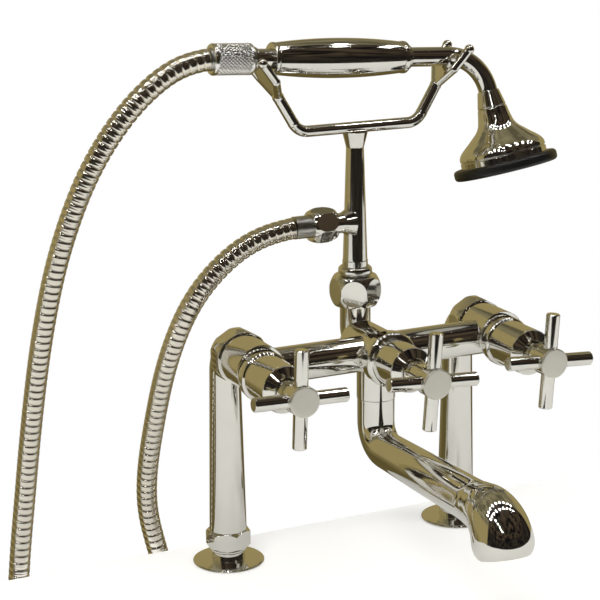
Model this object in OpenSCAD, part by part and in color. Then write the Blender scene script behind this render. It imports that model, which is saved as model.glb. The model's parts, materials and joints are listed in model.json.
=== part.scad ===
// Deck-mounted bath and shower mixer with three cross handles, a cradle and a hand shower.
// Millimetres. +Z is up, the handles and spout face -Y, and the origin lies on the deck
// midway between the two legs.

/* [Deck and legs] */
// Distance between the two leg axes
centres = 178; // [150:1:220]
// Height of the valve axes above the deck
valve_z = 148; // [130:1:180]
// Diameter of the deck flange
flange_d = 48.5; // [40:0.5:60]
// Thickness of the deck flange
flange_t = 2; // [1.5:0.5:5]
// Diameter of the collar under the base nut
collar_d = 24.2; // [23:0.2:30]
// Height of that collar
collar_h = 8; // [4:0.5:10]
// Width across the flats of the base nut
base_nut_af = 26.5; // [25:0.5:32]
// Height of the base nut
base_nut_h = 13; // [11:1:24]
// Diameter of a leg at its foot
leg_foot_d = 25.2; // [22:0.2:26]
// Diameter of a leg at its top and elbow
leg_top_d = 20.8; // [18:0.2:22]
// Bore of a leg
leg_bore_d = 14; // [10:0.5:16]
// Centreline radius of the elbow on top of a leg
leg_bend_r = 17; // [14:0.5:24]
// Outside diameter of the threaded shank under the deck
shank_d = 20.9; // [18:0.1:24]
// Outside diameter of the plain supply tail on the shank's end
inlet_d = 15.9; // [15:0.1:17]
// Length of that tail
inlet_len = 27; // [22:1:50]
// Bore of the shank
shank_bore_d = 13; // [10:0.5:15]
// Thickness of the deck between the flange and the washer
deck_t = 20; // [5:1:30]
// Diameter of the washer under the deck
deck_washer_d = 38; // [32:0.5:50]
// Thickness of that washer
deck_washer_t = 3; // [2:0.5:5]
// Width across the flats of the back nut
back_nut_af = 30; // [27:0.5:36]
// Height of the back nut
back_nut_h = 8; // [6:0.5:12]
// Height of the inlet unions' axes above the valve axes
inlet_rise = 2.7; // [0:0.1:4]

/* [Valve bodies] */
// Width across the flats of a union nut
union_af = 34.6; // [33:0.2:40]
// Length of a union nut
union_len = 13.2; // [13:0.2:20]
// Diameter of the collar that a union nut pulls on
tail_collar_d = 27; // [25:0.2:28]
// Outside diameter of a side barrel
barrel_d = 33; // [32:0.2:35]
// Length of a side barrel in front of its union nut
barrel_len = 28; // [26:0.5:36]
// Distance of the cross tubes' axis behind the front of the barrels
tube_back = 12.85; // [12:0.05:16]
// Outside diameter of the cross tubes
cross_tube_d = 23.6; // [20:0.2:24.4]
// Bore of the cross tubes
cross_bore_d = 16; // [10:0.5:18]
// Outside diameter of the centre barrel
centre_barrel_d = 32; // [30:0.5:36]
// Diameter of the bead on a side bonnet
bead_d = 33.6; // [31:0.2:40]
// Length of that bead
bead_len = 9; // [6:0.5:14]
// Diameter of a side bonnet's sleeve
sleeve_d = 30.6; // [28:0.2:33]
// Length of that sleeve
sleeve_len = 27; // [20:0.5:36]
// Diameter of the domed flange on the centre bonnet
centre_bead_d = 37; // [34:0.2:42]
// Length of that flange
centre_bead_len = 12; // [8:0.5:16]
// Diameter of the centre bonnet's sleeve
centre_sleeve_d = 29.8; // [28:0.2:33]
// Length of that sleeve
centre_sleeve_len = 23.5; // [18:0.5:32]
// Length of the cone at the front of a bonnet
cone_len = 4; // [2:0.5:8]
// Diameter of a cartridge where it enters its barrel
cartridge_d = 19; // [16:0.5:21]
// Diameter of a spindle
spindle_d = 7.8; // [6:0.2:9]

/* [Handles] */
// Span of a cross handle from tip to tip
handle_span = 63; // [50:1:80]
// Diameter of a handle's arms
arm_d = 9; // [7:0.2:9.4]
// Diameter of a handle's hub
hub_d = 19.5; // [17:0.5:24]
// Length of a handle's hub behind its cap
hub_len = 10; // [9.6:0.2:14]
// Diameter of the neck behind a hub
neck_d = 16; // [14:0.2:17]
// Neck length showing on the side handles
neck_len = 13; // [8:0.5:24]
// Neck length showing on the diverter handle
diverter_neck_len = 18.5; // [8:0.5:30]
// Thickness of the cap over a handle's screw
cap_t = 2.2; // [1:0.2:4]
// How far the hot handle is turned past upright at rest
hot_clock = 2; // [-10:0.5:10]
// How far the cold and diverter handles are turned past upright at rest
cold_clock = 4; // [-10:0.5:10]

/* [Spout] */
// Diameter of the spout socket under the body
stub_d = 25.6; // [24:0.2:30]
// Height of the joint under the spout socket
stub_z = 117; // [110:0.5:122]
// Diameter of the spout at its swivel
spout_d = 24.8; // [22:0.2:26]
// Centreline radius of the spout's bend
spout_bend_r = 17; // [15:0.5:24]
// Length of the straight drop above the bend
spout_drop = 15.8; // [8:0.2:24]
// Rise of the spout's straight run towards its nose, in degrees
spout_rise = 1.2; // [0:0.1:3]
// Length of the straight run between the two bends
spout_run = 104.7; // [70:0.1:150]
// Diameter of the spout where it starts to swell into the nose
spout_end_d = 27.4; // [26:0.2:30]
// Length of the swelling before the nose's bend
nose_flare_len = 20; // [10:1:24]
// Diameter of the nose at its bend
nose_d = 33.4; // [31:0.2:37]
// Diameter of the bulb round the outlet
bulb_d = 36.6; // [36:0.2:44]
// Length of the rounded lip past the nose's bend
lip_len = 8.8; // [6:0.2:12]
// Centreline radius of the nose's bend
nose_bend_r = 20.8; // [19:0.2:36]
// Turn of the nose from the run to its outlet, in degrees
nose_bend = 73.6; // [66:0.1:88]
// Wall of the spout
spout_wall = 3; // [2:0.2:4]
// Diameter of the spout's tail in its socket
tail_d = 17.9; // [16:0.1:18.5]
// Length of that tail
tail_len = 15; // [14:0.5:20]

/* [Column and cradle] */
// Distance of the riser and column in front of the leg axes
riser_t = 16; // [12:0.5:20]
// Diameter of the riser
riser_d = 20.6; // [18:0.2:22]
// Centreline radius of the elbow under the riser
riser_bend_r = 11; // [10.5:0.5:16]
// Height of the shoulder that the column nut covers
riser_top_z = 183; // [180:0.5:200]
// Width across the flats of the column nut
column_nut_af = 30; // [28:0.5:34]
// Height of the column nut
column_nut_h = 20; // [18:0.5:24]
// Diameter of the ring above the column nut
column_ring_d = 22.7; // [21:0.2:28]
// Height of that ring
column_ring_h = 6.5; // [4:0.5:10]
// Diameter of the column at its foot
column_foot_d = 16.4; // [15:0.2:17]
// Diameter of the column at its top
column_top_d = 11.8; // [11:0.2:14]
// Height of the column's top
column_top_z = 280; // [260:1:310]
// Height of the hose branch on the column
branch_z = 230; // [220:1:245]
// Diameter of the neck of the hose branch
branch_d = 13.4; // [12:0.2:15]
// Distance from the column's axis to the hose nut
branch_len = 16; // [12:0.5:20]
// Diameter of the cradle's bar
bar_d = 7.4; // [6:0.2:8]
// Length of the cradle's bar from the column to its corner on the hose side
bar_hose_side = 41; // [38:0.5:42]
// Length of the cradle's bar from the column to its corner on the head side
bar_head_side = 46; // [40:0.5:50]
// Height of the bar's axis above the column's top
boss_h = 13; // [10:0.5:16]
// Outward lean of the cradle's arms from upright
arm_lean = 31; // [28:0.5:34]
// Length of an arm from the bar's corner to its fork
cradle_arm_len = 27.4; // [24:0.2:30]
// Sideways spread of the tines at the bend and at the tips
tine_spread = [12, 14.5];
// Length of the tines along the arm to the bend and to the tips
tine_rise = [13.5, 29.5];
// Outward step of the tines' tips from the arm's line
tine_kick = 2.2; // [0:0.1:3]
// Diameter of a tine
tine_d = 5.8; // [5:0.2:6.2]
// Thickness of the web between the tines
web_t = 4.4; // [3:0.2:5]

/* [Hand shower] */
// Middle of the grip, left or right of the column
grip_x = -12; // [-14:0.5:-10]
// Height of the middle of the grip above the axis of the cradle's bar
grip_rise = 46; // [42:0.5:52]
// Downward tilt of the hand shower towards its head
grip_tilt = 2.9; // [1:0.1:5]
// Turn of the hand shower in its forks, its head towards the front
grip_roll = 14; // [0:0.5:20]
// Diameter of the pipe through the grip
pipe_d = 12.8; // [11:0.2:13.4]
// Bore of that pipe
pipe_bore_d = 9; // [6:0.5:10]
// Length of the grip
grip_len = 90; // [80:1:92]
// Largest diameter of the grip
grip_d = 25.8; // [22:0.2:30]
// Diameter of the grip at its ends
grip_end_d = 20.6; // [18:0.2:21]
// Diameter of the rings at the grip's ends
grip_ring_d = 21.2; // [20:0.2:21.6]
// Length of the ring nearer the hose
rear_ring_len = 3; // [2:0.2:3.4]
// Length of the ring nearer the head
front_ring_len = 6.5; // [4:0.5:10]
// Distance from the grip's middle to the pipe's bend
pipe_reach = 82.5; // [82:0.5:100]
// Centreline radius of the pipe's bend
pipe_bend_r = 28.8; // [28:0.2:45]
// Angle of the pipe's bend
pipe_bend = 79; // [60:0.5:90]
// Diameter of the bell just below its collar
bell_neck_d = 20.4; // [19:0.2:26]
// Diameter of the bell's rim
bell_d = 58.4; // [50:0.2:70]
// Height of the bell from the pipe to its rim
bell_h = 50.2; // [48:0.2:60]
// Wall of the bell
bell_wall = 1.8; // [1.2:0.1:2.4]
// How far the rubber bumper stands out round the bell's rim
bumper_show = 6; // [4:0.2:9]
// Height of the rubber bumper
bumper_h = 7.2; // [6:0.2:12]
// Thickness of the spray plate
plate_t = 2.4; // [1.6:0.2:4]
// Diameter of a spray hole
spray_hole_d = 1.6; // [1:0.1:2]

/* [Hose] */
// Outside diameter of the hose
hose_d = 14.2; // [12:0.2:15]
// Bore of the hose
hose_bore_d = 9; // [6:0.5:10]
// Depth of the groove between two ribs
rib_depth = 0.9; // [0.4:0.1:1.2]
// Number of ribs along the hose
rib_count = 180; // [60:10:200]
// Diameter of the knurled coupling
coupling_d = 20.2; // [19.6:0.2:22]
// Length of the knurled coupling
coupling_len = 28; // [26:0.5:38]
// Width across the corners of the hose nut on the column
hose_nut_ac = 23.8; // [23:0.2:28]
// Length of that nut
hose_nut_len = 17.5; // [15:0.5:26]
// Diameter of the ferrule on the hose's lower end
ferrule_d = 15; // [14.4:0.2:15.4]
// Length of ferrule showing outside the hose nut
ferrule_show = 11.5; // [4:0.5:24]

/* [Clearances] */
// Gap between two pieces that are screwed or pushed together
fit_gap = 0.2; // [0.1:0.05:0.3]
// Radial clearance of a turning shaft
run_gap = 0.06; // [0.02:0.01:0.1]
// Gap between a moving piece and what it moves past
free_gap = 0.4; // [0.3:0.05:0.6]
// Thickness of the fibre washers
washer_t = 2; // [1:0.2:3]

/* [Hidden] */
$fn = 96;

chrome = [0.80, 0.80, 0.79];
dark_chrome = [0.62, 0.62, 0.60];
raw_brass = [0.78, 0.62, 0.33];
black_rubber = [0.06, 0.06, 0.06];
fibre = [0.35, 0.20, 0.14];
white_plastic = [0.90, 0.90, 0.88];

half = centres / 2;
eps = 0.01;

// Heights at a leg's foot
nut_z = flange_t + collar_h;
leg_z = nut_z + base_nut_h;
tail_dip = 9;
washer_z = leg_z - tail_dip - washer_t;
leg_tail_d = shank_d - 0.1;
inlet_z = valve_z + inlet_rise;
elbow_z = inlet_z - leg_bend_r;
thread_show = 2;
thread_len = deck_t + deck_washer_t + back_nut_h + thread_show;
shank_len = thread_len + inlet_len;

// Distances in front of the leg axes along a valve
lip_t = 3.5;
tail_collar_t = 4;
nut_t = leg_bend_r + 0.5;
tail_t = nut_t + lip_t;
seal_t = tail_t + tail_collar_t;
spigot_t = seal_t + washer_t;
barrel_t = nut_t + union_len + fit_gap;
barrel_front = barrel_t + barrel_len;
tube_t = barrel_front - tube_back;
spigot_d = tail_collar_d + 1.2;

// Cartridge and bonnet
cartridge_depth = 14;
cartridge_flange_t = 4;
cartridge_flange_d = cartridge_d + 5.6;
cartridge_top_d = 17.6;
cartridge_top = 20;
spindle_dip = 10;
bonnet_wall = 2;
skirt_dip = 3;
bonnet_hole_d = neck_d + 2 * free_gap;
bonnet_front = barrel_front + bead_len + sleeve_len + cone_len;
centre_front = barrel_front + centre_bead_len + centre_sleeve_len + cone_len;
hub_back = bonnet_front + neck_len;
diverter_hub_back = centre_front + diverter_neck_len;

// Handle
web_back = 3;
web_front = 4.5;
screw_d = 4;
screw_head_d = 7.2;
screw_head_h = 2.2;
screw_dip = 8;
cap_plug_d = 12;
cap_plug_h = 2.6;

// Spout
socket_d = tail_d + 2 * run_gap;
socket_depth = tail_len + 1;
spout_top = stub_z - 0.3;
bend_z = spout_top - spout_drop;
spout_bore_d = tail_d - 2 * spout_wall;
spout_shoulder = 5;
bend_turn = 90 - spout_rise;
bore_step = 0.6;
grid_turn = 12;
grid_t = 3;
seal_r = 0.72;
groove_depth = 1.6;
seal_heights = [tail_len - 3, tail_len - 6.6];
lock_height = 4;
lock_d = 4;

// Column
column_nut_dip = 9.5;
column_nut_z = riser_top_z - column_nut_dip;
column_nut_top = column_nut_z + column_nut_h;
column_flange_d = riser_d + 0.2;
column_flange_t = 4;
column_z = riser_top_z + washer_t;
column_lip_z = column_z + column_flange_t;
column_neck_d = column_foot_d + 0.6;
column_ring_top = column_nut_top + column_ring_h;
stud_d = 6.8;
stud_h = 6;
boss_d = 17;
bar_z = column_top_z + boss_h;

// Hose branch, measured outwards from the column's axis
nipple_d = 16.4;
nipple_len = 9;
branch_seal = branch_len + nipple_len;
ferrule_flange_d = nipple_d - 0.2;
ferrule_flange_t = 3;
branch_flange = branch_seal + washer_t;
hose_lip = branch_flange + ferrule_flange_t;
hose_nut_end = branch_len + hose_nut_len;
ferrule_end = hose_nut_end + ferrule_show;

// Hand shower, measured along its axis from the grip's middle
grip_start = -grip_len / 2;
ring_start = grip_start - rear_ring_len;
grip_end = grip_len / 2;
ring_end = grip_end + front_ring_len;
neck_show = 13.5;
grip_z = bar_z + grip_rise;
coupling_end = ring_start - neck_show;
coupling_start = coupling_end - coupling_len;
coupling_wall = 7.4;
coupling_lip = coupling_start + coupling_wall;
upper_flange_end = coupling_lip + ferrule_flange_t;
nipple_start = upper_flange_end + washer_t;
pipe_nipple_len = 11;
hose_start = coupling_start - 1.2;
bell_rim_h = 10;
bell_collar_h = 11.2;
bell_socket = 4;
bell_floor = 6;
// Turn of the pipe inside the bell's collar, in degrees
pipe_entry = 6;
bell_seat = bell_h - plate_t;
bumper_d = bell_d + 2 * bumper_show;
bumper_lip = 2.6;
bumper_start = bell_h - bumper_h * 0.35;

// Places on the hand shower, in the frame of the whole part
function on_handset(u, w = 0) = [
    grip_x + u * cos(grip_tilt) + w * sin(grip_tilt),
    -riser_t,
    grip_z - u * sin(grip_tilt) + w * cos(grip_tilt)
];
function pipe_axis_z(x) = grip_z - (x - grip_x) * tan(grip_tilt);

// Route of the hose's centreline between its two straight ends: points chosen by hand, the first
// ones measured from the hand shower's end, the last ones from the branch's end
hose_top = on_handset(hose_start - fit_gap);
hose_foot = [-ferrule_end - fit_gap, -riser_t, branch_z];
hose_fall = [
    [-29.4, 0, -8.1], [-48.4, 1, -22.6], [-67.4, 4, -46.6], [-81.4, 8, -71.6], [-90.4, 14, -97.6]
];
hose_loop = [
    [-200, 5, 220], [-205, 13, 190], [-209, 21, 158], [-212, 29, 124], [-215, 36, 88],
    [-218, 42, 50], [-222, 46, 10], [-226, 48, -40], [-230, 50, -90], [-231, 50, -140],
    [-224, 50, -182], [-202, 50, -214], [-168, 50, -226], [-134, 50, -214], [-112, 50, -182],
    [-105, 50, -140], [-107, 50, -90], [-115, 48, -40], [-124, 46, 0], [-131, 43, 24],
    [-133, 38, 52], [-132, 30, 80], [-130, 21, 108], [-127, 11, 138]
];
hose_climb = [[-75.8, 17, -64], [-66.3, 8, -38.5], [-51.8, 3, -21], [-35, 1, -7.5]];
hose_route = concat(
    [for (p = hose_fall) hose_top + p], hose_loop, [for (p = hose_climb) hose_foot + p]
);
hose_ends = [
    [for (k = [0, 0.5, 1]) on_handset(hose_start - fit_gap - k * hose_d)],
    [for (k = [0.8, 0.4, 0]) hose_foot - [k * hose_d, 0, 0]]
];
hose_points = concat(hose_ends[0], hose_route, hose_ends[1]);
hose_sides = 8;
hose_steps = 8;
bore_rings = 70;

// Smooth curve through the route's points, its running length and its point at a length
function spline_point(p, i, f) =
    let (a = p[max(i - 1, 0)], b = p[i], c = p[i + 1], d = p[min(i + 2, len(p) - 1)])
    b + f * ((c - a) / 2 + f * ((a - 2.5 * b + 2 * c - d / 2) + f * (1.5 * (b - c) + (d - a) / 2)));
function spline(p, n) = concat(
    [for (i = [0 : len(p) - 2], k = [0 : n - 1]) spline_point(p, i, k / n)],
    [p[len(p) - 1]]
);
function lengths(p) = [for (i = 0, s = 0; i < len(p); s = s + norm(p[min(i + 1, len(p) - 1)] - p[i]), i = i + 1) s];
hose_line = spline(hose_points, hose_steps);
hose_at = lengths(hose_line);
hose_len = hose_at[len(hose_at) - 1];
hose_tables = [for (axis = [0 : 2]) [for (i = [0 : len(hose_line) - 1]) [hose_at[i], hose_line[i][axis]]]];
function hose_point(s) = [for (axis = [0 : 2]) lookup(s, hose_tables[axis])];
function hose_heading(s) =
    let (d = hose_point(min(s + 0.5, hose_len)) - hose_point(max(s - 0.5, 0)))
    d / norm(d);
function hose_ring(s, r) =
    let (
        t = hose_heading(s),
        side = cross(t, [0, 1, 0]) / norm(cross(t, [0, 1, 0])),
        up = cross(side, t),
        p = hose_point(s)
    )
    [for (k = [0 : hose_sides - 1]) p + r * (cos(360 * k / hose_sides) * side + sin(360 * k / hose_sides) * up)];
echo(hose_length_mm = hose_len);

// Basic shapes
module tube(d, bore, h) {
    difference() {
        cylinder(d = d, h = h);
        translate([0, 0, -1]) cylinder(d = bore, h = h + 2);
    }
}

module bend(r, d, angle) {
    rotate_extrude(angle = angle) translate([r, 0]) circle(d = d);
}

// A hexagonal bar whose ends are turned down to the flats
module nut_blank(af, h, chamfer) {
    corner = af / cos(30) / 2;
    intersection() {
        cylinder(r = corner, h = h, $fn = 6);
        rotate_extrude() polygon([
            [0, 0], [af / 2 - 0.4, 0], [corner + eps, chamfer],
            [corner + eps, h - chamfer], [af / 2 - 0.4, h], [0, h]
        ]);
    }
}

// A bar swelling from r_end at both ends to r_mid halfway along
module barrel_turning(r_mid, r_end, h, steps = 16) {
    rise = r_mid - r_end;
    arc_r = (h * h / 4 + rise * rise) / (2 * rise);
    rotate_extrude() polygon(concat(
        [[0, 0]],
        [for (i = [0 : steps])
            let (z = h * i / steps)
            [r_mid - arc_r + sqrt(arc_r * arc_r - pow(z - h / 2, 2)), z]],
        [[0, h]]
    ));
}

// A ring with rounded edges
module rounded_ring(d, bore, h, r) {
    rotate_extrude() difference() {
        union() {
            translate([bore / 2, 0]) square([d / 2 - r - bore / 2, h]);
            translate([bore / 2, r]) square([d / 2 - bore / 2, h - 2 * r]);
            translate([d / 2 - r, r]) circle(r = r);
            translate([d / 2 - r, h - r]) circle(r = r);
        }
        translate([-d, -1]) square([d + bore / 2, h + 2]);
    }
}

module rod(p, q, d) {
    v = q - p;
    translate(p)
        rotate([0, acos(v[2] / norm(v)), atan2(v[1], v[0])])
            cylinder(d = d, h = norm(v));
}

// Frames: towards the front at a valve, and along the hand shower
module forward(x, t) {
    translate([x, -t, valve_z]) rotate([90, 0, 0]) children();
}

module inlet(x, t) {
    translate([x, -t, inlet_z]) rotate([90, 0, 0]) children();
}

module at_handset() {
    translate([grip_x, -riser_t, grip_z]) rotate([0, grip_tilt, 0]) rotate([-grip_roll, 0, 0]) children();
}

module along_handset(u) {
    at_handset() translate([u, 0, 0]) rotate([0, 90, 0]) children();
}

module at_bell(s) {
    at_handset()
        translate([pipe_reach + pipe_bend_r * sin(pipe_bend), 0, -pipe_bend_r * (1 - cos(pipe_bend))])
            rotate([0, 90 + pipe_bend, 0])
                translate([0, 0, s]) children();
}

module along_branch(d) {
    translate([-d, -riser_t, branch_z]) rotate([0, -90, 0]) children();
}

// Deck fixing and legs
module deck_flange(x) {
    color(chrome) translate([x, 0, 0]) rotate_extrude() polygon([
        [shank_d / 2 + fit_gap, 0], [flange_d / 2, 0], [flange_d / 2, flange_t / 3],
        [flange_d / 2 - 1.2, flange_t * 0.6], [collar_d / 2 + 2, flange_t], [shank_d / 2 + fit_gap, flange_t]
    ]);
}

module base_nut(x) {
    color(chrome) translate([x, 0, 0]) difference() {
        union() {
            translate([0, 0, flange_t]) cylinder(d = collar_d - 1.4, h = collar_h);
            translate([0, 0, nut_z - collar_h / 4]) rounded_ring(collar_d, shank_d - 2, collar_h / 4, 0.6);
            translate([0, 0, nut_z]) rotate([0, 0, 30]) nut_blank(base_nut_af, base_nut_h, 2);
        }
        translate([0, 0, -1]) cylinder(d = shank_d + 2 * fit_gap, h = leg_z + 2);
    }
}

module leg(x) {
    color(chrome) difference() {
        union() {
            translate([x, 0, leg_z - tail_dip]) cylinder(d = leg_tail_d, h = tail_dip + eps);
            translate([x, 0, leg_z]) cylinder(d1 = leg_foot_d, d2 = leg_top_d, h = elbow_z - leg_z);
            translate([x, -leg_bend_r, elbow_z]) rotate([90, 0, 90]) bend(leg_bend_r, leg_top_d, 90);
            inlet(x, leg_bend_r) cylinder(d = leg_top_d, h = tail_t - leg_bend_r + eps);
            inlet(x, tail_t) cylinder(d = tail_collar_d, h = tail_collar_t);
        }
        translate([x, 0, leg_z - tail_dip - 1]) cylinder(d = leg_bore_d, h = elbow_z - leg_z + tail_dip + 1);
        translate([x, -leg_bend_r, elbow_z]) rotate([90, 0, 90]) bend(leg_bend_r, leg_bore_d, 90);
        inlet(x, leg_bend_r) cylinder(d = leg_bore_d, h = seal_t - leg_bend_r + 1);
    }
}

module shank(x) {
    color(raw_brass) translate([x, 0, 0]) difference() {
        union() {
            translate([0, 0, -thread_len]) cylinder(d = shank_d, h = thread_len + washer_z);
            translate([0, 0, -shank_len]) cylinder(d = inlet_d, h = inlet_len + eps);
        }
        translate([0, 0, -shank_len - 1]) cylinder(d = shank_bore_d, h = shank_len + washer_z + 2);
    }
}

module foot_washers() {
    for (x = [-half, half])
        color(fibre) translate([x, 0, washer_z]) tube(leg_tail_d, shank_bore_d, washer_t);
}

module deck_washers() {
    for (x = [-half, half])
        color(white_plastic) translate([x, 0, -deck_t - deck_washer_t])
            tube(deck_washer_d, shank_d + 2 * fit_gap, deck_washer_t);
}

module back_nuts() {
    for (x = [-half, half])
        color(raw_brass) translate([x, 0, -deck_t - deck_washer_t - back_nut_h]) difference() {
            nut_blank(back_nut_af, back_nut_h, 1.2);
            translate([0, 0, -1]) cylinder(d = shank_d + 2 * fit_gap, h = back_nut_h + 2);
        }
}

// A hexagonal nut with both faces domed
module union_nut(x) {
    corner = union_af / cos(30) / 2;
    dome_r = corner - 1;
    color(chrome) inlet(x, nut_t) difference() {
        intersection() {
            rotate([0, 0, 30]) cylinder(r = corner, h = union_len, $fn = 6);
            translate([0, 0, union_len * 0.45]) sphere(r = dome_r);
        }
        translate([0, 0, -1]) cylinder(d = leg_top_d + 2 * fit_gap, h = union_len + 2);
        translate([0, 0, lip_t]) cylinder(d = spigot_d + 2 * fit_gap, h = union_len);
    }
}

module union_washers() {
    for (x = [-half, half])
        color(fibre) inlet(x, seal_t) tube(tail_collar_d, leg_bore_d, washer_t);
}

// The cast body with its two side barrels, cross tubes, centre barrel, spout socket and riser
module mixer_body() {
    bore_floor = barrel_front - cartridge_depth - 1;
    centre_rear = riser_t + 5;
    color(chrome) difference() {
        union() {
            for (x = [-half, half]) {
                inlet(x, spigot_t) cylinder(d = spigot_d, h = barrel_t - spigot_t + eps);
                inlet(x, barrel_t) cylinder(d = barrel_d, h = barrel_len);
            }
            translate([-half, -tube_t, valve_z]) rotate([0, 90, 0]) cylinder(d = cross_tube_d, h = centres);
            forward(0, centre_rear)
                cylinder(d1 = centre_barrel_d - 5, d2 = centre_barrel_d, h = 2.5);
            forward(0, centre_rear + 2.5)
                cylinder(d = centre_barrel_d, h = barrel_front - centre_rear - 2.5);
            translate([0, -tube_t, stub_z]) cylinder(d = stub_d, h = valve_z - stub_z);
            translate([0, -riser_t - riser_bend_r, valve_z + riser_bend_r])
                rotate([90, 0, 90]) rotate([0, 0, -90]) bend(riser_bend_r, riser_d, 90);
            translate([0, -riser_t, valve_z + riser_bend_r])
                cylinder(d = riser_d, h = riser_top_z - valve_z - riser_bend_r);
        }
        for (x = [-half, half]) {
            inlet(x, spigot_t - 1) cylinder(d = leg_bore_d, h = barrel_len);
            forward(x, bore_floor) cylinder(d = cartridge_d + 2 * fit_gap, h = cartridge_depth + 2);
        }
        forward(0, bore_floor) cylinder(d = cartridge_d + 2 * fit_gap, h = cartridge_depth + 2);
        forward(0, riser_t) cylinder(d = leg_bore_d, h = barrel_front - riser_t - 2);
        translate([-half, -tube_t, valve_z]) rotate([0, 90, 0]) cylinder(d = cross_bore_d, h = centres);
        translate([0, -tube_t, stub_z - 1]) cylinder(d = socket_d, h = socket_depth + 1);
        translate([0, -tube_t, stub_z]) cylinder(d = spout_bore_d, h = valve_z - stub_z);
        translate([0, -riser_t, valve_z]) cylinder(d = leg_bore_d, h = riser_top_z - valve_z + 1);
        translate([0, -tube_t, stub_z + lock_height]) rotate([-90, 0, 0])
            cylinder(d = lock_d + 2 * fit_gap, h = stub_d);
    }
}

// Bonnets, cartridges and spindles
module bonnet(x, bead, bead_l, sleeve, sleeve_l) {
    inner = cartridge_flange_d + 2 * fit_gap;
    color(chrome) forward(x, barrel_front) difference() {
        union() {
            rounded_ring(bead, 2, bead_l, bead_l * 0.3);
            cylinder(d = sleeve, h = bead_l + sleeve_l);
            translate([0, 0, bead_l + sleeve_l]) cylinder(d1 = sleeve - 1, d2 = bonnet_hole_d + 2, h = cone_len);
        }
        translate([0, 0, -1]) cylinder(d = inner, h = bead_l + sleeve_l + 1 - bonnet_wall);
        cylinder(d = bonnet_hole_d, h = bead_l + sleeve_l + cone_len + 1);
    }
}

module cartridge(x) {
    color(raw_brass) forward(x, barrel_front) difference() {
        union() {
            translate([0, 0, -cartridge_depth]) cylinder(d = cartridge_d, h = cartridge_depth + eps);
            cylinder(d = cartridge_flange_d, h = cartridge_flange_t);
            translate([0, 0, cartridge_flange_t - eps]) cylinder(d = cartridge_top_d, h = cartridge_top - cartridge_flange_t);
        }
        translate([0, 0, cartridge_top - spindle_dip]) cylinder(d = spindle_d + 2 * run_gap, h = spindle_dip + 1);
    }
}

module spindle(x, hub) {
    start = barrel_front + cartridge_top - spindle_dip + fit_gap;
    stop = hub + web_back - fit_gap;
    color(raw_brass) forward(x, start) difference() {
        cylinder(d = spindle_d, h = stop - start);
        translate([0, 0, hub - screw_dip - 1 - start]) cylinder(d = screw_d + 2 * fit_gap, h = stop);
    }
}

// Cross handles
module cross_handle(x, hub, front, clock) {
    arm_t = hub + hub_len / 2 + 0.2;
    skirt = front - skirt_dip;
    color(chrome) difference() {
        union() {
            forward(x, skirt) cylinder(d = neck_d, h = hub - skirt + eps);
            forward(x, hub) cylinder(d = hub_d, h = hub_len);
            forward(x, arm_t) for (turn = [0 : 90 : 270])
                rotate([0, 90, turn - clock]) translate([0, 0, cap_plug_d / 2 + 1]) {
                    cylinder(d = arm_d, h = handle_span / 2 - cap_plug_d / 2 - 1.6);
                    translate([0, 0, handle_span / 2 - cap_plug_d / 2 - 1.6])
                        cylinder(d1 = arm_d, d2 = arm_d - 1.2, h = 0.6);
                }
        }
        forward(x, skirt - 1) cylinder(d = spindle_d + 2 * fit_gap, h = hub + web_back - skirt + 1);
        forward(x, hub) cylinder(d = screw_d + 2 * fit_gap, h = hub_len + 1);
        forward(x, hub + web_front) cylinder(d = cap_plug_d + 2 * fit_gap, h = hub_len);
    }
}

module handle_screw(x, hub) {
    color(dark_chrome) forward(x, hub + web_front - screw_dip - web_front) {
        cylinder(d = screw_d, h = screw_dip + web_front + eps);
        translate([0, 0, screw_dip + web_front]) difference() {
            cylinder(d = screw_head_d, h = screw_head_h);
            translate([0, 0, screw_head_h - 1.2]) cylinder(d = 3.4, h = 2, $fn = 6);
        }
    }
}

module handle_cap(x, hub) {
    color(chrome) forward(x, hub + hub_len) {
        cylinder(d = hub_d, h = cap_t - 0.5);
        translate([0, 0, cap_t - 0.5]) cylinder(d1 = hub_d, d2 = hub_d - 1, h = 0.5);
        translate([0, 0, -cap_plug_h]) cylinder(d = cap_plug_d, h = cap_plug_h + eps);
    }
}

// Spout: swivel tail, bend, rising run, swelling and the bent nose with its outlet
module spout_end() {
    translate([0, -tube_t - spout_bend_r, bend_z]) rotate([-spout_rise, 0, 0])
        translate([0, 0, -spout_bend_r]) children();
}

module along_nose(turn) {
    spout_end() translate([0, -spout_run - nose_flare_len, -nose_bend_r]) rotate([turn, 0, 0])
        translate([0, 0, nose_bend_r]) rotate([90, 0, 0]) children();
}

module spout_form(wall, shoulder) {
    tube_d = spout_d - 2 * wall;
    translate([0, -tube_t, bend_z]) cylinder(d = tube_d, h = spout_top - bend_z - shoulder);
    translate([0, -tube_t - spout_bend_r, bend_z])
        rotate([90, 0, 90]) mirror([0, 1, 0]) bend(spout_bend_r, tube_d, bend_turn);
    spout_end() {
        sphere(d = tube_d + 0.2);
        rotate([90, 0, 0]) cylinder(d1 = tube_d, d2 = spout_end_d - 2 * wall, h = spout_run);
        translate([0, -spout_run, 0]) rotate([90, 0, 0])
            cylinder(d1 = spout_end_d - 2 * wall, d2 = nose_d - 2 * wall, h = nose_flare_len);
        translate([0, -spout_run - nose_flare_len, -nose_bend_r])
            rotate([90, 0, 90]) rotate([0, 0, 90]) bend(nose_bend_r, nose_d - 2 * wall, nose_bend);
    }
}

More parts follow.
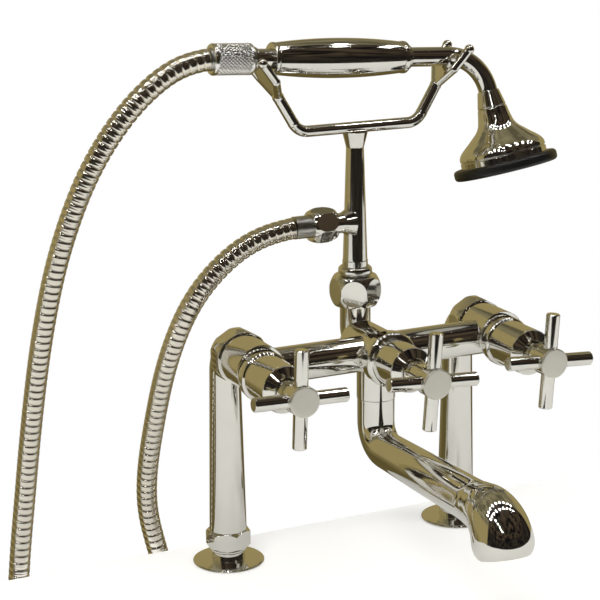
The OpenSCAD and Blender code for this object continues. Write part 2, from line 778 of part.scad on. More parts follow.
module spout() {
    color(chrome) difference() {
        union() {
            spout_form(0, 0);
            along_nose(nose_bend) intersection() {
                sphere(d = bulb_d);
                translate([0, 0, -bulb_d]) cylinder(d = bulb_d + 2, h = bulb_d + lip_len);
            }
            translate([0, -tube_t, spout_top - eps]) cylinder(d = tail_d, h = tail_len + stub_z - spout_top);
        }
        spout_form(spout_wall, spout_shoulder);
        along_nose(nose_bend) translate([0, 0, -2])
            cylinder(d = nose_d - 2 * spout_wall + bore_step, h = lip_len + 3);
        translate([0, -tube_t, bend_z]) cylinder(d = spout_bore_d, h = stub_z + tail_len - bend_z + 1);
        for (h = seal_heights)
            translate([0, -tube_t, stub_z + h - seal_r - 0.15])
                tube(tail_d + 2, tail_d - 2 * groove_depth, 2 * seal_r + 0.3);
        translate([0, -tube_t, stub_z + lock_height - lock_d / 2 - fit_gap])
            tube(tail_d + 2, tail_d - 2 * groove_depth, lock_d + 2 * fit_gap);
    }
}

module spout_seals() {
    for (h = seal_heights)
        color(black_rubber) translate([0, -tube_t, stub_z + h])
            rotate_extrude() translate([tail_d / 2 - groove_depth + seal_r + 0.05, 0]) circle(r = seal_r);
}

module spout_screw() {
    tip = tail_d / 2 - groove_depth + fit_gap;
    color(dark_chrome) translate([0, -tube_t + tip, stub_z + lock_height]) rotate([-90, 0, 0])
        difference() {
            cylinder(d = lock_d, h = stub_d / 2 - tip - 0.3);
            translate([0, 0, stub_d / 2 - tip - 1.8]) cylinder(d = 2, h = 3, $fn = 6);
        }
}

module outlet_grid() {
    hole = 5;
    pitch = 7;
    r = nose_d / 2 - spout_wall - 0.4;
    color(white_plastic) along_nose(nose_bend - grid_turn) translate([0, 0, -grid_t / 2]) difference() {
        cylinder(r = r, h = grid_t);
        for (i = [-1 : 1], j = [-1 : 1])
            translate([i * pitch, j * pitch, -1]) cylinder(d = hole, h = grid_t + 2);
    }
}

// Riser joint and column
module column_nut() {
    corner = column_nut_af / cos(30) / 2;
    color(chrome) translate([0, -riser_t, column_nut_z]) difference() {
        intersection() {
            rotate([0, 0, 30]) cylinder(r = corner, h = column_nut_h, $fn = 6);
            translate([0, 0, column_nut_h / 2]) sphere(r = corner + 0.1);
        }
        translate([0, 0, -1]) cylinder(d = column_neck_d + 2 * fit_gap, h = column_nut_h + 2);
        translate([0, 0, -1]) cylinder(d = column_flange_d + 2 * fit_gap, h = column_lip_z - column_nut_z + 1);
    }
}

module column_ring() {
    color(chrome) translate([0, -riser_t, column_nut_top])
        rounded_ring(column_ring_d, column_neck_d + 2 * fit_gap, column_ring_h, column_ring_h * 0.4);
}

module column_washer() {
    color(fibre) translate([0, -riser_t, riser_top_z]) tube(riser_d, leg_bore_d, washer_t);
}

module column() {
    bore_d = 7;
    shoulder_h = 4;
    color(chrome) difference() {
        union() {
            translate([0, -riser_t, column_z]) cylinder(d = column_flange_d, h = column_flange_t);
            translate([0, -riser_t, column_lip_z - eps])
                cylinder(d = column_neck_d, h = column_ring_top + shoulder_h - column_lip_z);
            translate([0, -riser_t, column_ring_top + shoulder_h - eps])
                cylinder(d1 = column_foot_d, d2 = column_top_d, h = column_top_z - column_ring_top - shoulder_h);
            translate([0, -riser_t, column_top_z - eps]) cylinder(d = stud_d, h = stud_h);
            along_branch(0) cylinder(d = branch_d, h = branch_len + eps);
            along_branch(3) cylinder(d1 = branch_d + 7, d2 = branch_d, h = 7);
            along_branch(branch_len) cylinder(d = nipple_d, h = nipple_len);
        }
        translate([0, -riser_t, column_z - 1]) cylinder(d = bore_d, h = branch_z - column_z + 1);
        along_branch(0) cylinder(d = bore_d, h = branch_len + nipple_len + 1);
    }
}

// Cradle: bar on a boss, two leaning arms, and forks joined by a notched web
module cradle_side(turn, bar_half) {
    bend_r = 12;
    tangent = bend_r * tan((90 - arm_lean) / 2);
    fork_x = bar_half + cradle_arm_len * sin(arm_lean);
    fork_z = bar_z + cradle_arm_len * cos(arm_lean);
    seat_drop = 3.5;
    web_lift = (pipe_axis_z(turn * (fork_x + 10)) - seat_drop - fork_z) / cos(arm_lean);
    web_half = tine_spread[1] - tine_d / 2;
    mirror([turn < 0 ? 1 : 0, 0, 0]) {
        translate([0, 0, bar_z]) rotate([0, 90, 0]) cylinder(d = bar_d, h = bar_half - tangent);
        translate([bar_half - tangent, 0, bar_z + bend_r])
            rotate([90, 0, 0]) rotate([0, 0, -90]) bend(bend_r, bar_d, 90 - arm_lean);
        translate([bar_half, 0, bar_z]) rotate([0, arm_lean, 0]) {
            translate([0, 0, tangent]) sphere(d = bar_d + 0.3);
            translate([0, 0, tangent]) cylinder(d = bar_d, h = cradle_arm_len - tangent);
            translate([0, 0, cradle_arm_len]) {
                sphere(d = bar_d + 0.4);
                for (side = [-1, 1]) {
                    knee = [0, side * tine_spread[0], tine_rise[0]];
                    tip = [tine_kick, side * tine_spread[1], tine_rise[1]];
                    rod([0, 0, 0], knee, tine_d);
                    translate(knee) sphere(d = tine_d + 0.3);
                    rod(knee, tip, tine_d);
                    translate(tip) sphere(d = tine_d + 0.8);
                }
                translate([-web_t / 2, 0, 0]) rotate([90, 0, 90]) linear_extrude(web_t)
                    polygon([[0, 0], [tine_spread[0], tine_rise[0]], [web_half, web_lift],
                             [-web_half, web_lift], [-tine_spread[0], tine_rise[0]]]);
            }
        }
    }
}

module cradle() {
    color(chrome) difference() {
        union() {
            translate([0, -riser_t, 0]) {
                cradle_side(-1, bar_hose_side);
                cradle_side(1, bar_head_side);
                translate([0, 0, column_top_z]) cylinder(d1 = column_top_d, d2 = boss_d, h = boss_h - bar_d / 2 + 1);
            }
        }
        translate([0, -riser_t, column_top_z - 1]) cylinder(d = stud_d + 2 * fit_gap, h = stud_h + 1 + fit_gap);
        along_handset(coupling_start) cylinder(d = pipe_d + 0.6, h = pipe_reach + pipe_d - coupling_start);
    }
}

// Hose and its ends
module hose_nut() {
    flats = hose_nut_ac * cos(30);
    color(chrome) along_branch(branch_len) difference() {
        intersection() {
            rotate([0, 0, 20]) cylinder(d = hose_nut_ac, h = hose_nut_len, $fn = 6);
            barrel_turning(hose_nut_ac / 2 + 0.1, flats / 2 - 0.4, hose_nut_len);
        }
        translate([0, 0, -1]) cylinder(d = ferrule_d + 2 * fit_gap, h = hose_nut_len + 2);
        translate([0, 0, -1]) cylinder(d = nipple_d + 2 * fit_gap, h = hose_lip - branch_len + 1);
    }
}

module lower_hose_washer() {
    color(fibre) along_branch(branch_seal) tube(nipple_d, 7, washer_t);
}

module lower_ferrule() {
    color(chrome) along_branch(branch_flange) difference() {
        union() {
            cylinder(d = ferrule_flange_d, h = ferrule_flange_t);
            cylinder(d = ferrule_d, h = ferrule_end - branch_flange);
        }
        translate([0, 0, -1]) cylinder(d = hose_bore_d, h = ferrule_end - branch_flange + 2);
    }
}

// One closed tube: ribs of two rings each outside, and a smooth bore inside
module shower_hose() {
    outer_rings = 2 * rib_count;
    outer = [for (i = [0 : outer_rings - 1], p = hose_ring(
        hose_len * i / (outer_rings - 1),
        hose_d / 2 - (i % 2 == 0 ? 0 : rib_depth)
    )) p];
    inner = [for (i = [0 : bore_rings - 1], p = hose_ring(hose_len * i / (bore_rings - 1), hose_bore_d / 2)) p];
    n = hose_sides;
    base = outer_rings * n;
    last = (outer_rings - 1) * n;
    deep = base + (bore_rings - 1) * n;
    function skin(start, rings, flip) = [
        for (i = [0 : rings - 2], k = [0 : n - 1])
            let (
                a = start + i * n + k,
                b = start + i * n + (k + 1) % n,
                quad = [[a, b, b + n], [a, b + n, a + n]]
            )
            for (f = quad) flip ? [f[2], f[1], f[0]] : f
    ];
    function rim(out, in, flip) = [
        for (k = [0 : n - 1])
            let (m = (k + 1) % n, quad = [[out + k, in + k, in + m], [out + k, in + m, out + m]])
            for (f = quad) flip ? [f[2], f[1], f[0]] : f
    ];
    color(chrome) polyhedron(
        points = concat(outer, inner),
        faces = concat(
            skin(0, outer_rings, false), skin(base, bore_rings, true),
            rim(0, base, false), rim(last, deep, true)
        )
    );
}

module upper_ferrule() {
    upper_d = hose_d;
    color(dark_chrome) along_handset(hose_start) difference() {
        union() {
            cylinder(d = upper_d, h = coupling_lip - hose_start + eps);
            translate([0, 0, coupling_lip - hose_start]) cylinder(d = ferrule_flange_d, h = ferrule_flange_t);
        }
        translate([0, 0, -1]) cylinder(d = hose_bore_d, h = upper_flange_end - hose_start + 2);
    }
}

module upper_hose_washer() {
    color(fibre) along_handset(upper_flange_end) tube(nipple_d, 7, washer_t);
}

module hose_coupling() {
    color(chrome) along_handset(coupling_start) difference() {
        rounded_ring(coupling_d, 4, coupling_len, 2);
        translate([0, 0, -1]) cylinder(d = hose_d + 2 * fit_gap, h = coupling_len + 2);
        translate([0, 0, coupling_wall]) cylinder(d = nipple_d + 2 * fit_gap, h = coupling_len);
    }
}

// Hand shower
module pipe_run(d, start) {
    translate([start, 0, 0]) rotate([0, 90, 0]) cylinder(d = d, h = pipe_reach - start);
    translate([pipe_reach, 0, -pipe_bend_r]) rotate([-90, -90, 0])
        bend(pipe_bend_r, d, pipe_bend + pipe_entry);
}

module handset_pipe() {
    collar_len = 2.5;
    color(chrome) at_handset() difference() {
        union() {
            pipe_run(pipe_d, nipple_start + pipe_nipple_len - 1);
            translate([nipple_start, 0, 0]) rotate([0, 90, 0]) cylinder(d = nipple_d, h = pipe_nipple_len);
            translate([coupling_end, 0, 0]) rotate([0, 90, 0]) cylinder(d = nipple_d - 1, h = collar_len);
        }
        pipe_run(pipe_bore_d, nipple_start - 1);
    }
}

module grip() {
    color(chrome) along_handset(grip_start) difference() {
        barrel_turning(grip_d / 2, grip_end_d / 2, grip_len, 24);
        translate([0, 0, -1]) cylinder(d = pipe_d + 2 * fit_gap, h = grip_len + 2);
    }
}

module rear_grip_ring() {
    color(chrome) along_handset(ring_start)
        rounded_ring(grip_ring_d, pipe_d + 2 * fit_gap, rear_ring_len, rear_ring_len * 0.4);
}

module front_grip_ring() {
    step_len = front_ring_len * 0.4;
    color(chrome) along_handset(grip_end) {
        rounded_ring(grip_ring_d, pipe_d + 2 * fit_gap, front_ring_len - step_len, 1.2);
        translate([0, 0, front_ring_len - step_len - eps])
            rounded_ring(pipe_d + 3.6, pipe_d + 2 * fit_gap, step_len, 0.8);
    }
}

// Bell outline from the pipe to the rim, moved inwards by a wall: radius and height as fractions
bell_flare = [
    [0, 0.05], [0.053, 0.253], [0.096, 0.383], [0.202, 0.497], [0.362, 0.594], [0.548, 0.708],
    [0.734, 0.805], [0.894, 0.896], [0.979, 0.968], [1, 1]
];
function bell_outline(inset) =
    let (
        neck = bell_neck_d / 2 - inset,
        rim = bell_d / 2 - inset,
        flare_h = bell_h - bell_rim_h - bell_collar_h,
        band = bell_h - bell_rim_h
    )
    concat(
        [[neck - 3, 0], [neck - 2.6, 1.5], [neck - 1.8, 5.5], [neck - 0.6, bell_collar_h - 0.5],
         [neck - 0.9, bell_collar_h]],
        [for (f = bell_flare) [neck + f[0] * (rim - neck), bell_collar_h + f[1] * flare_h]],
        [[rim, band + 2.4], [rim - 0.5, band + 3], [rim, band + 3.6], [rim, bell_h]]
    );

module bell() {
    color(chrome) at_bell(0) difference() {
        rotate_extrude() polygon(concat([[0, 0]], bell_outline(0), [[0, bell_h]]));
        intersection() {
            rotate_extrude() polygon(concat([[0, 0]], bell_outline(bell_wall), [[0, bell_h]]));
            translate([0, 0, bell_floor]) cylinder(d = bell_d, h = bell_seat - bell_floor);
        }
        translate([0, 0, bell_seat]) cylinder(d = bell_d - 2 * bell_wall + 0.8, h = plate_t + 1);
        translate([0, 0, -1]) cylinder(d = pipe_bore_d, h = bell_floor + 2);
        translate([0, 0, -1]) cylinder(d = pipe_d + 1, h = bell_socket + 1);
    }
}

module spray_plate() {
    rings = [[6, 6.5], [12, 12.5], [18, 18.5]];
    color(dark_chrome) at_bell(bell_seat) difference() {
        cylinder(d = bell_d - 2 * bell_wall + 0.8 - 2 * fit_gap, h = plate_t);
        for (ring = rings, i = [0 : ring[0] - 1])
            rotate([0, 0, 360 * i / ring[0]]) translate([ring[1], 0, -1])
                cylinder(d = spray_hole_d, h = plate_t + 2, $fn = 16);
    }
}

module bumper() {
    color(black_rubber) at_bell(bumper_start) difference() {
        rounded_ring(bumper_d, bell_d - 2 * bumper_lip, bumper_h, bumper_h * 0.35);
        translate([0, 0, -1]) cylinder(d = bell_d + 2 * fit_gap, h = bell_h - bumper_start + 1);
    }
}

deck_flange(-half);  // hot_flange
deck_flange(half);  // cold_flange
base_nut(-half);  // hot_base_nut
base_nut(half);  // cold_base_nut
leg(-half);  // hot_leg
leg(half);  // cold_leg
shank(-half);  // hot_shank
shank(half);  // cold_shank
foot_washers();
deck_washers();
back_nuts();
union_nut(-half);  // hot_union_nut
union_nut(half);  // cold_union_nut
union_washers();
mixer_body();
bonnet(-half, bead_d, bead_len, sleeve_d, sleeve_len);  // hot_bonnet
bonnet(half, bead_d, bead_len, sleeve_d, sleeve_len);  // cold_bonnet
bonnet(0, centre_bead_d, centre_bead_len, centre_sleeve_d, centre_sleeve_len);  // diverter_bonnet
cartridge(-half);  // hot_cartridge
cartridge(half);  // cold_cartridge
cartridge(0);  // diverter_cartridge
spindle(-half, hub_back);  // hot_spindle
spindle(half, hub_back);  // cold_spindle
spindle(0, diverter_hub_back);  // diverter_spindle
cross_handle(-half, hub_back, bonnet_front, hot_clock);  // hot_handle
cross_handle(half, hub_back, bonnet_front, cold_clock);  // cold_handle
cross_handle(0, diverter_hub_back, centre_front, cold_clock);  // diverter_handle
handle_screw(-half, hub_back);  // hot_screw
handle_screw(half, hub_back);  // cold_screw
handle_screw(0, diverter_hub_back);  // diverter_screw
handle_cap(-half, hub_back);  // hot_cap
handle_cap(half, hub_back);  // cold_cap
handle_cap(0, diverter_hub_back);  // diverter_cap
spout();
spout_seals();
spout_screw();
outlet_grid();
column_nut();
column_ring();
column_washer();
column();
cradle();
hose_nut();
lower_ferrule();
lower_hose_washer();
shower_hose();
upper_ferrule();
hose_coupling();
upper_hose_washer();
handset_pipe();
grip();
rear_grip_ring();
front_grip_ring();
bell();
spray_plate();
bumper();
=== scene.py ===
"""A deck-mounted bath and shower mixer in polished chrome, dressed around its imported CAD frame."""

from __future__ import annotations

import json
import logging
import math
from dataclasses import dataclass
from enum import Enum, IntEnum

import bpy
import numpy as np
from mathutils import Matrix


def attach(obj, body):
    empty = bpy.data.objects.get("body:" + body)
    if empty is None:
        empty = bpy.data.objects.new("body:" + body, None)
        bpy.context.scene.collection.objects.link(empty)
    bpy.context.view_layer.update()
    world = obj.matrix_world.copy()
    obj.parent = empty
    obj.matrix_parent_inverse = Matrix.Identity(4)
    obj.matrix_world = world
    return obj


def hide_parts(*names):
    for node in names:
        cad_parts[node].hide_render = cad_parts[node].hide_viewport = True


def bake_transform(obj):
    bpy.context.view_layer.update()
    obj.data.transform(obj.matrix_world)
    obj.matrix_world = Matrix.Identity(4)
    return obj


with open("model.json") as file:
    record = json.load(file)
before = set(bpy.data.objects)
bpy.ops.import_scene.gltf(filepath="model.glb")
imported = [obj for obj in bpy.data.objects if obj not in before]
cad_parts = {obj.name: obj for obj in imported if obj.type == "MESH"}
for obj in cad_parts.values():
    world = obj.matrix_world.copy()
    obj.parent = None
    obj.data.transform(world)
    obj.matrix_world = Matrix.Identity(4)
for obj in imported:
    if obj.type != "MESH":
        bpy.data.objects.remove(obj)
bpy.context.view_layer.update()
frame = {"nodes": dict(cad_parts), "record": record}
MM = 0.001
LOG = logging.getLogger("bath_mixer")

Array = np.ndarray
Colour = tuple[float, float, float]
Point = tuple[float, float, float]
Route = tuple[Point, ...]
Outline = tuple[tuple[float, float], ...]
WHITE: Colour = (1.0, 1.0, 1.0)


class Body(str, Enum):
    """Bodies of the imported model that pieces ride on."""

    FIXED = "fixed"
    HAND_SHOWER = "hand_shower"
    SPOUT = "swivel_spout"


class Axis(IntEnum):
    """The own axes that a place is turned about, by their column."""

    X = 0
    Y = 1


def unit(vectors: Array) -> Array:
    """Scale vectors to length one along the last axis.

    Args:
        vectors: Any array whose last axis holds x, y, z.

    Returns:
        The same directions with length one.
    """
    return vectors / np.linalg.norm(vectors, axis=-1, keepdims=True)


def round_angles(sides: int) -> Array:
    """Spread angles evenly once round a circle.

    Args:
        sides: How many angles.

    Returns:
        The angles in radians, without the last one that meets the first.
    """
    return np.linspace(0.0, 2 * np.pi, sides, endpoint=False)


def running_length(line: Array) -> Array:
    """Measure how far along a line each of its points lies.

    Args:
        line: The line's points.

    Returns:
        One length per point, from zero.
    """
    return np.concatenate([[0.0], np.cumsum(np.linalg.norm(np.diff(line, axis=0), axis=1))])


def points_at(where: Array, at: Array, line: Array) -> Array:
    """Find points of a line by their running length, straight between its own points.

    Args:
        where: Running lengths of the points to find.
        at: Running lengths of the line's own points.
        line: Those points, any number of coordinates.

    Returns:
        One point per length.
    """
    return np.stack([np.interp(where, at, line[:, k]) for k in range(line.shape[1])], axis=-1)


@dataclass(frozen=True)
class Surface:
    """Points and faces of one closed skin."""

    points: Array
    faces: Array

    @staticmethod
    def grid(points: Array) -> Surface:
        """Skin a grid of rings: each ring closes on itself and joins the next, the last one the first.

        Args:
            points: Array of rings, sides and coordinates.

        Returns:
            The skinned surface.
        """
        rings, sides, _ = points.shape
        rows = np.arange(rings)[:, None]
        columns = np.arange(sides)[None, :]
        below = rows * sides
        above = ((rows + 1) % rings) * sides
        after = (columns + 1) % sides
        faces = np.stack([below + columns, below + after, above + after, above + columns], axis=-1)
        return Surface(points.reshape(-1, 3), faces.reshape(-1, 4))


@dataclass(frozen=True)
class Place:
    """A place in the part's frame: an origin and the directions of its own x, y and z axes as columns."""

    origin: Array
    axes: Array

    @staticmethod
    def at(x_mm: float, y_mm: float, z_mm: float) -> Place:
        """An unturned place, given in millimetres."""
        return Place(np.array([x_mm, y_mm, z_mm]) * MM, np.eye(3))

    def moved(self, x_mm: float, y_mm: float, z_mm: float) -> Place:
        """This place moved along its own axes, in millimetres."""
        return Place(self.origin + self.axes @ (np.array([x_mm, y_mm, z_mm]) * MM), self.axes)

    def turned(self, axis: Axis, degrees: float) -> Place:
        """This place turned about one of its own axes.

        Args:
            axis: The axis to turn about.
            degrees: The turn, by the right-hand rule.

        Returns:
            The turned place.
        """
        c = math.cos(math.radians(degrees))
        s = math.sin(math.radians(degrees))
        one = (axis + 1) % 3
        two = (axis + 2) % 3
        turn = np.eye(3)
        turn[one, one] = c
        turn[one, two] = -s
        turn[two, one] = s
        turn[two, two] = c
        return Place(self.origin, self.axes @ turn)

    def revolve(self, outline_mm: Array, sides: int, swell_mm: Array | None = None) -> Surface:
        """Turn a closed outline of radius and height about this place's z axis.

        A point is origin + (radius + swell) * (cos(angle) * x + sin(angle) * y) + height * z.

        Args:
            outline_mm: Radius and height of each point, anticlockwise with the radius to the right.
            sides: Points round the axis.
            swell_mm: Extra radius for each outline point and angle.

        Returns:
            The closed surface.
        """
        angle = round_angles(sides)[None, :]
        radius = np.repeat(outline_mm[:, :1], sides, axis=1)
        if swell_mm is not None:
            radius = radius + swell_mm
        height = np.repeat(outline_mm[:, 1:], sides, axis=1)
        local = np.stack([radius * np.cos(angle), radius * np.sin(angle), height], axis=-1) * MM
        return Surface.grid(self.origin + local @ self.axes.T)


def through(knots: Array, count: int, steps: int = 24) -> Array:
    """Spread points evenly along a smooth curve through knots.

    Each stretch between two knots is a cubic. Its tangent at a knot is half the way from the knot
    before to the knot after, so neighbouring stretches share it.

    Args:
        knots: The points that the curve passes, any number of coordinates.
        count: How many points to return.
        steps: Points worked out on each stretch before they are spread evenly.

    Returns:
        The points.
    """
    last = len(knots) - 1
    index = np.arange(last)
    before = knots[np.maximum(index - 1, 0)][:, None]
    here = knots[index][:, None]
    there = knots[index + 1][:, None]
    beyond = knots[np.minimum(index + 2, last)][:, None]
    f = (np.arange(steps) / steps)[None, :, None]
    bend = before - 2.5 * here + 2 * there - beyond / 2
    twist = 1.5 * (here - there) + (beyond - before) / 2
    fine = here + f * ((there - before) / 2 + f * (bend + f * twist))
    fine = np.concatenate([fine.reshape(-1, knots.shape[1]), knots[-1:]])
    at = running_length(fine)
    return points_at(np.linspace(0.0, at[-1], count), at, fine)


def eased(line: Array, reach: int, passes: int) -> Array:
    """Round off a line's tight bends by running means whose two ends stay where they are.

    Each pass replaces a point by the mean of its neighbours up to reach points away. Past an end the
    line goes on as its own half turn about that end.

    Args:
        line: Evenly spread points.
        reach: How many neighbours count on each side.
        passes: How often the mean is taken.

    Returns:
        As many points on the rounder line.
    """
    width = 2 * reach + 1
    for _ in range(passes):
        before = 2 * line[0] - line[reach:0:-1]
        after = 2 * line[-1] - line[-2:-reach - 2:-1]
        sums = np.cumsum(np.concatenate([np.zeros((1, 3)), before, line, after]), axis=0)
        line = (sums[width:] - sums[:-width]) / width
    return line


def arc(centre: tuple[float, float], radius: float, start: float, stop: float, count: int = 8) -> Array:
    """Points on a circle's arc, angles in degrees.

    Args:
        centre: The circle's centre.
        radius: Its radius.
        start: First angle.
        stop: Last angle.
        count: Number of points.

    Returns:
        The points.
    """
    angle = np.radians(np.linspace(start, stop, count))
    return np.array(centre) + radius * np.stack([np.cos(angle), np.sin(angle)], axis=-1)


def make_piece(name: str, skin: Surface, finish: bpy.types.Material, crease: float) -> bpy.types.Object:
    """Put a skin into a smooth-shaded object at the origin.

    Args:
        name: Name of the object.
        skin: Its surface.
        finish: Its material.
        crease: Angle in degrees over which an edge stays sharp.

    Returns:
        The new object.
    """
    mesh = bpy.data.meshes.new(name)
    mesh.from_pydata(skin.points.tolist(), [], skin.faces.tolist())
    mesh.polygons.foreach_set("use_smooth", np.ones(len(skin.faces), dtype=bool))
    mesh.set_sharp_from_angle(angle=math.radians(crease))
    mesh.update()
    piece = bpy.data.objects.new(name, mesh)
    bpy.context.scene.collection.objects.link(piece)
    mesh.materials.append(finish)
    return piece


@dataclass(frozen=True)
class Noise:
    """Soft random patches: how many to a metre, how many finer layers, and how strong those are."""

    scale: float
    detail: float
    roughness: float = 0.5


class NodeTree:
    """A short way of writing the node tree of a material or a world."""

    def __init__(self, owner: bpy.types.Material | bpy.types.World) -> None:
        """Start an empty tree.

        Args:
            owner: The new material or world that the tree belongs to.
        """
        owner.use_nodes = True
        self.owner = owner
        self.tree = owner.node_tree
        self.tree.nodes.clear()

    def add(self, kind: str, **inputs: object) -> bpy.types.Node:
        """Add a node and set or link its inputs.

        Args:
            kind: Blender's type name of the node.
            inputs: Socket values or other nodes' sockets, with spaces written as underscores.

        Returns:
            The new node.
        """
        node = self.tree.nodes.new(kind)
        for label, value in inputs.items():
            self.feed(node, label.replace("_", " "), value)
        return node

    def feed(self, node: bpy.types.Node, label: str | int, value: object) -> None:
        """Set an input's value, or link another node's socket to it.

        Args:
            node: The node that is fed.
            label: Name or number of its input.
            value: A value, or the socket to link.
        """
        if isinstance(value, bpy.types.NodeSocket):
            self.tree.links.new(value, node.inputs[label])
        else:
            node.inputs[label].default_value = value

    def place(self) -> bpy.types.NodeSocket:
        """The socket of the object's own coordinates."""
        return self.add("ShaderNodeTexCoord").outputs["Object"]

    def noise(self, noise: Noise) -> bpy.types.NodeSocket:
        """Add a noise on the object's own coordinates.

        Args:
            noise: Its sizes.

        Returns:
            The socket of its level, from zero to one.
        """
        node = self.add(
            "ShaderNodeTexNoise",
            Vector=self.place(),
            Scale=noise.scale,
            Detail=noise.detail,
            Roughness=noise.roughness,
        )
        return node.outputs["Fac"]

    def pair(self, kind: str, one: object, two: object, first: int = 0) -> bpy.types.Node:
        """Add a node that joins two inputs which share one name.

        Args:
            kind: Blender's type name of the node.
            one: Value or socket of the first of them.
            two: Value or socket of the second.
            first: Number of the first of them.

        Returns:
            The new node.
        """
        node = self.add(kind)
        self.feed(node, first, one)
        self.feed(node, first + 1, two)
        return node

    def sums(self, operation: str, one: object, two: object) -> bpy.types.NodeSocket:
        """Work out one number from two.

        Args:
            operation: Blender's name of the sum.
            one: First value or socket.
            two: Second value or socket.

        Returns:
            The socket of the result.
        """
        node = self.pair("ShaderNodeMath", one, two)
        node.operation = operation
        return node.outputs[0]

    def ramp(self, factor: bpy.types.NodeSocket, stops: list[tuple[float, Colour]]) -> bpy.types.NodeSocket:
        """Add a colour ramp between two colours.

        Args:
            factor: The socket that drives it.
            stops: Positions and colours of its two ends.

        Returns:
            Its colour socket.
        """
        node = self.add("ShaderNodeValToRGB", Fac=factor)
        for element, (place, colour) in zip(node.color_ramp.elements, stops):
            element.position = place
            element.color = (*colour, 1.0)
        return node.outputs["Color"]

    def close(
        self,
        shader: bpy.types.NodeSocket,
        output: str = "ShaderNodeOutputMaterial",
    ) -> bpy.types.Material | bpy.types.World:
        """Link the shader to the tree's output.

        Args:
            shader: The finished shader's socket.
            output: Blender's type name of the output node.

        Returns:
            The material or world.
        """
        self.add(output, Surface=shader)
        return self.owner


@dataclass(frozen=True)
class Metal:
    """Polished or plated metal with faint polishing marks and a light film of water spots."""

    name: str
    colour: Colour
    roughness: float = 0.05
    mark_depth: float = 0.02
    mark_scale: float = 240.0
    mark_detail: float = 2.0
    mark_height_mm: float = 0.2
    film: Noise = Noise(38.0, 4.0, 0.6)
    film_from: float = 0.35
    film_to: float = 0.65
    film_dim: float = 0.96
    sheen_low: float = 0.7
    sheen_high: float = 1.5
    edge_mm: float = 0.5
    edge_samples: int = 6

    def material(self) -> bpy.types.Material:
        """Build the metal: base colour, wavering roughness and a very shallow bump over rounded edges.

        Returns:
            The material.
        """
        tree = NodeTree(bpy.data.materials.new(self.name))
        film = tree.noise(self.film)
        marks = tree.noise(Noise(self.mark_scale, self.mark_detail))
        low = self.roughness * self.sheen_low
        high = self.roughness * self.sheen_high
        sheen = tree.add("ShaderNodeMapRange", Value=film, To_Min=low, To_Max=high)
        tint = tree.ramp(film, [
            (self.film_from, tuple(self.film_dim * c for c in self.colour)),
            (self.film_to, self.colour),
        ])
        edge = tree.add("ShaderNodeBevel", Radius=self.edge_mm * MM)
        edge.samples = self.edge_samples
        bump = tree.add(
            "ShaderNodeBump",
            Strength=self.mark_depth,
            Distance=self.mark_height_mm * MM,
            Height=marks,
            Normal=edge.outputs["Normal"],
        )
        shader = tree.add(
            "ShaderNodeBsdfPrincipled",
            Base_Color=tint,
            Metallic=1.0,
            Roughness=sheen.outputs["Result"],
            Normal=bump.outputs["Normal"],
        )
        return tree.close(shader.outputs["BSDF"])


@dataclass(frozen=True)
class Moulding:
    """Rubber, fibre or plastic with a fine grain."""

    name: str
    colour: Colour
    roughness: float
    grain_depth: float = 0.15
    grain_height_mm: float = 0.1
    grain: Noise = Noise(1400.0, 2.0)
    mottle: Noise = Noise(120.0, 5.0)
    mottle_from: float = 0.3
    mottle_to: float = 0.7
    shade_low: float = 0.8
    shade_high: float = 1.15
    sheen_low: float = 0.85
    sheen_high: float = 1.15

    def material(self) -> bpy.types.Material:
        """Build the moulding: a mottled colour, uneven roughness and a fine grain.

        Returns:
            The material.
        """
        tree = NodeTree(bpy.data.materials.new(self.name))
        mottle = tree.noise(self.mottle)
        grain = tree.noise(self.grain)
        tint = tree.ramp(mottle, [
            (self.mottle_from, tuple(self.shade_low * c for c in self.colour)),
            (self.mottle_to, tuple(min(1.0, self.shade_high * c) for c in self.colour)),
        ])
        low = self.roughness * self.sheen_low
        high = min(1.0, self.roughness * self.sheen_high)
        sheen = tree.add("ShaderNodeMapRange", Value=mottle, To_Min=low, To_Max=high)
        bump = tree.add(
            "ShaderNodeBump",
            Strength=self.grain_depth,
            Distance=self.grain_height_mm * MM,
            Height=grain,
        )
        shader = tree.add(
            "ShaderNodeBsdfPrincipled",
            Base_Color=tint,
            Roughness=sheen.outputs["Result"],
            Normal=bump.outputs["Normal"],
        )
        return tree.close(shader.outputs["BSDF"])


@dataclass(frozen=True)
class Glow:
    """A glowing wall whose colour drifts between two shades in large soft patches."""

    name: str
    colour: Colour
    dim: Colour
    strength: float = 1.0
    fade: tuple[float, float] | None = None
    patches: Noise = Noise(2.2, 3.0)
    patch_from: float = 0.36
    patch_to: float = 0.64

    def material(self) -> bpy.types.Material:
        """Build the glow. With a fade, its level is the mean of the patches and a rise between two heights.

        Returns:
            The material.
        """
        tree = NodeTree(bpy.data.materials.new(self.name))
        level = tree.noise(self.patches)
        if self.fade is not None:
            height = tree.add("ShaderNodeSeparateXYZ", Vector=tree.place()).outputs["Z"]
            low, high = self.fade
            rise = tree.add("ShaderNodeMapRange", Value=height, From_Min=low, From_Max=high)
            level = tree.sums("MULTIPLY", tree.sums("ADD", level, rise.outputs["Result"]), 0.5)
        shade = tree.ramp(level, [(self.patch_from, self.dim), (self.patch_to, self.colour)])
        shader = tree.add("ShaderNodeEmission", Color=shade, Strength=self.strength)
        return tree.close(shader.outputs["Emission"])


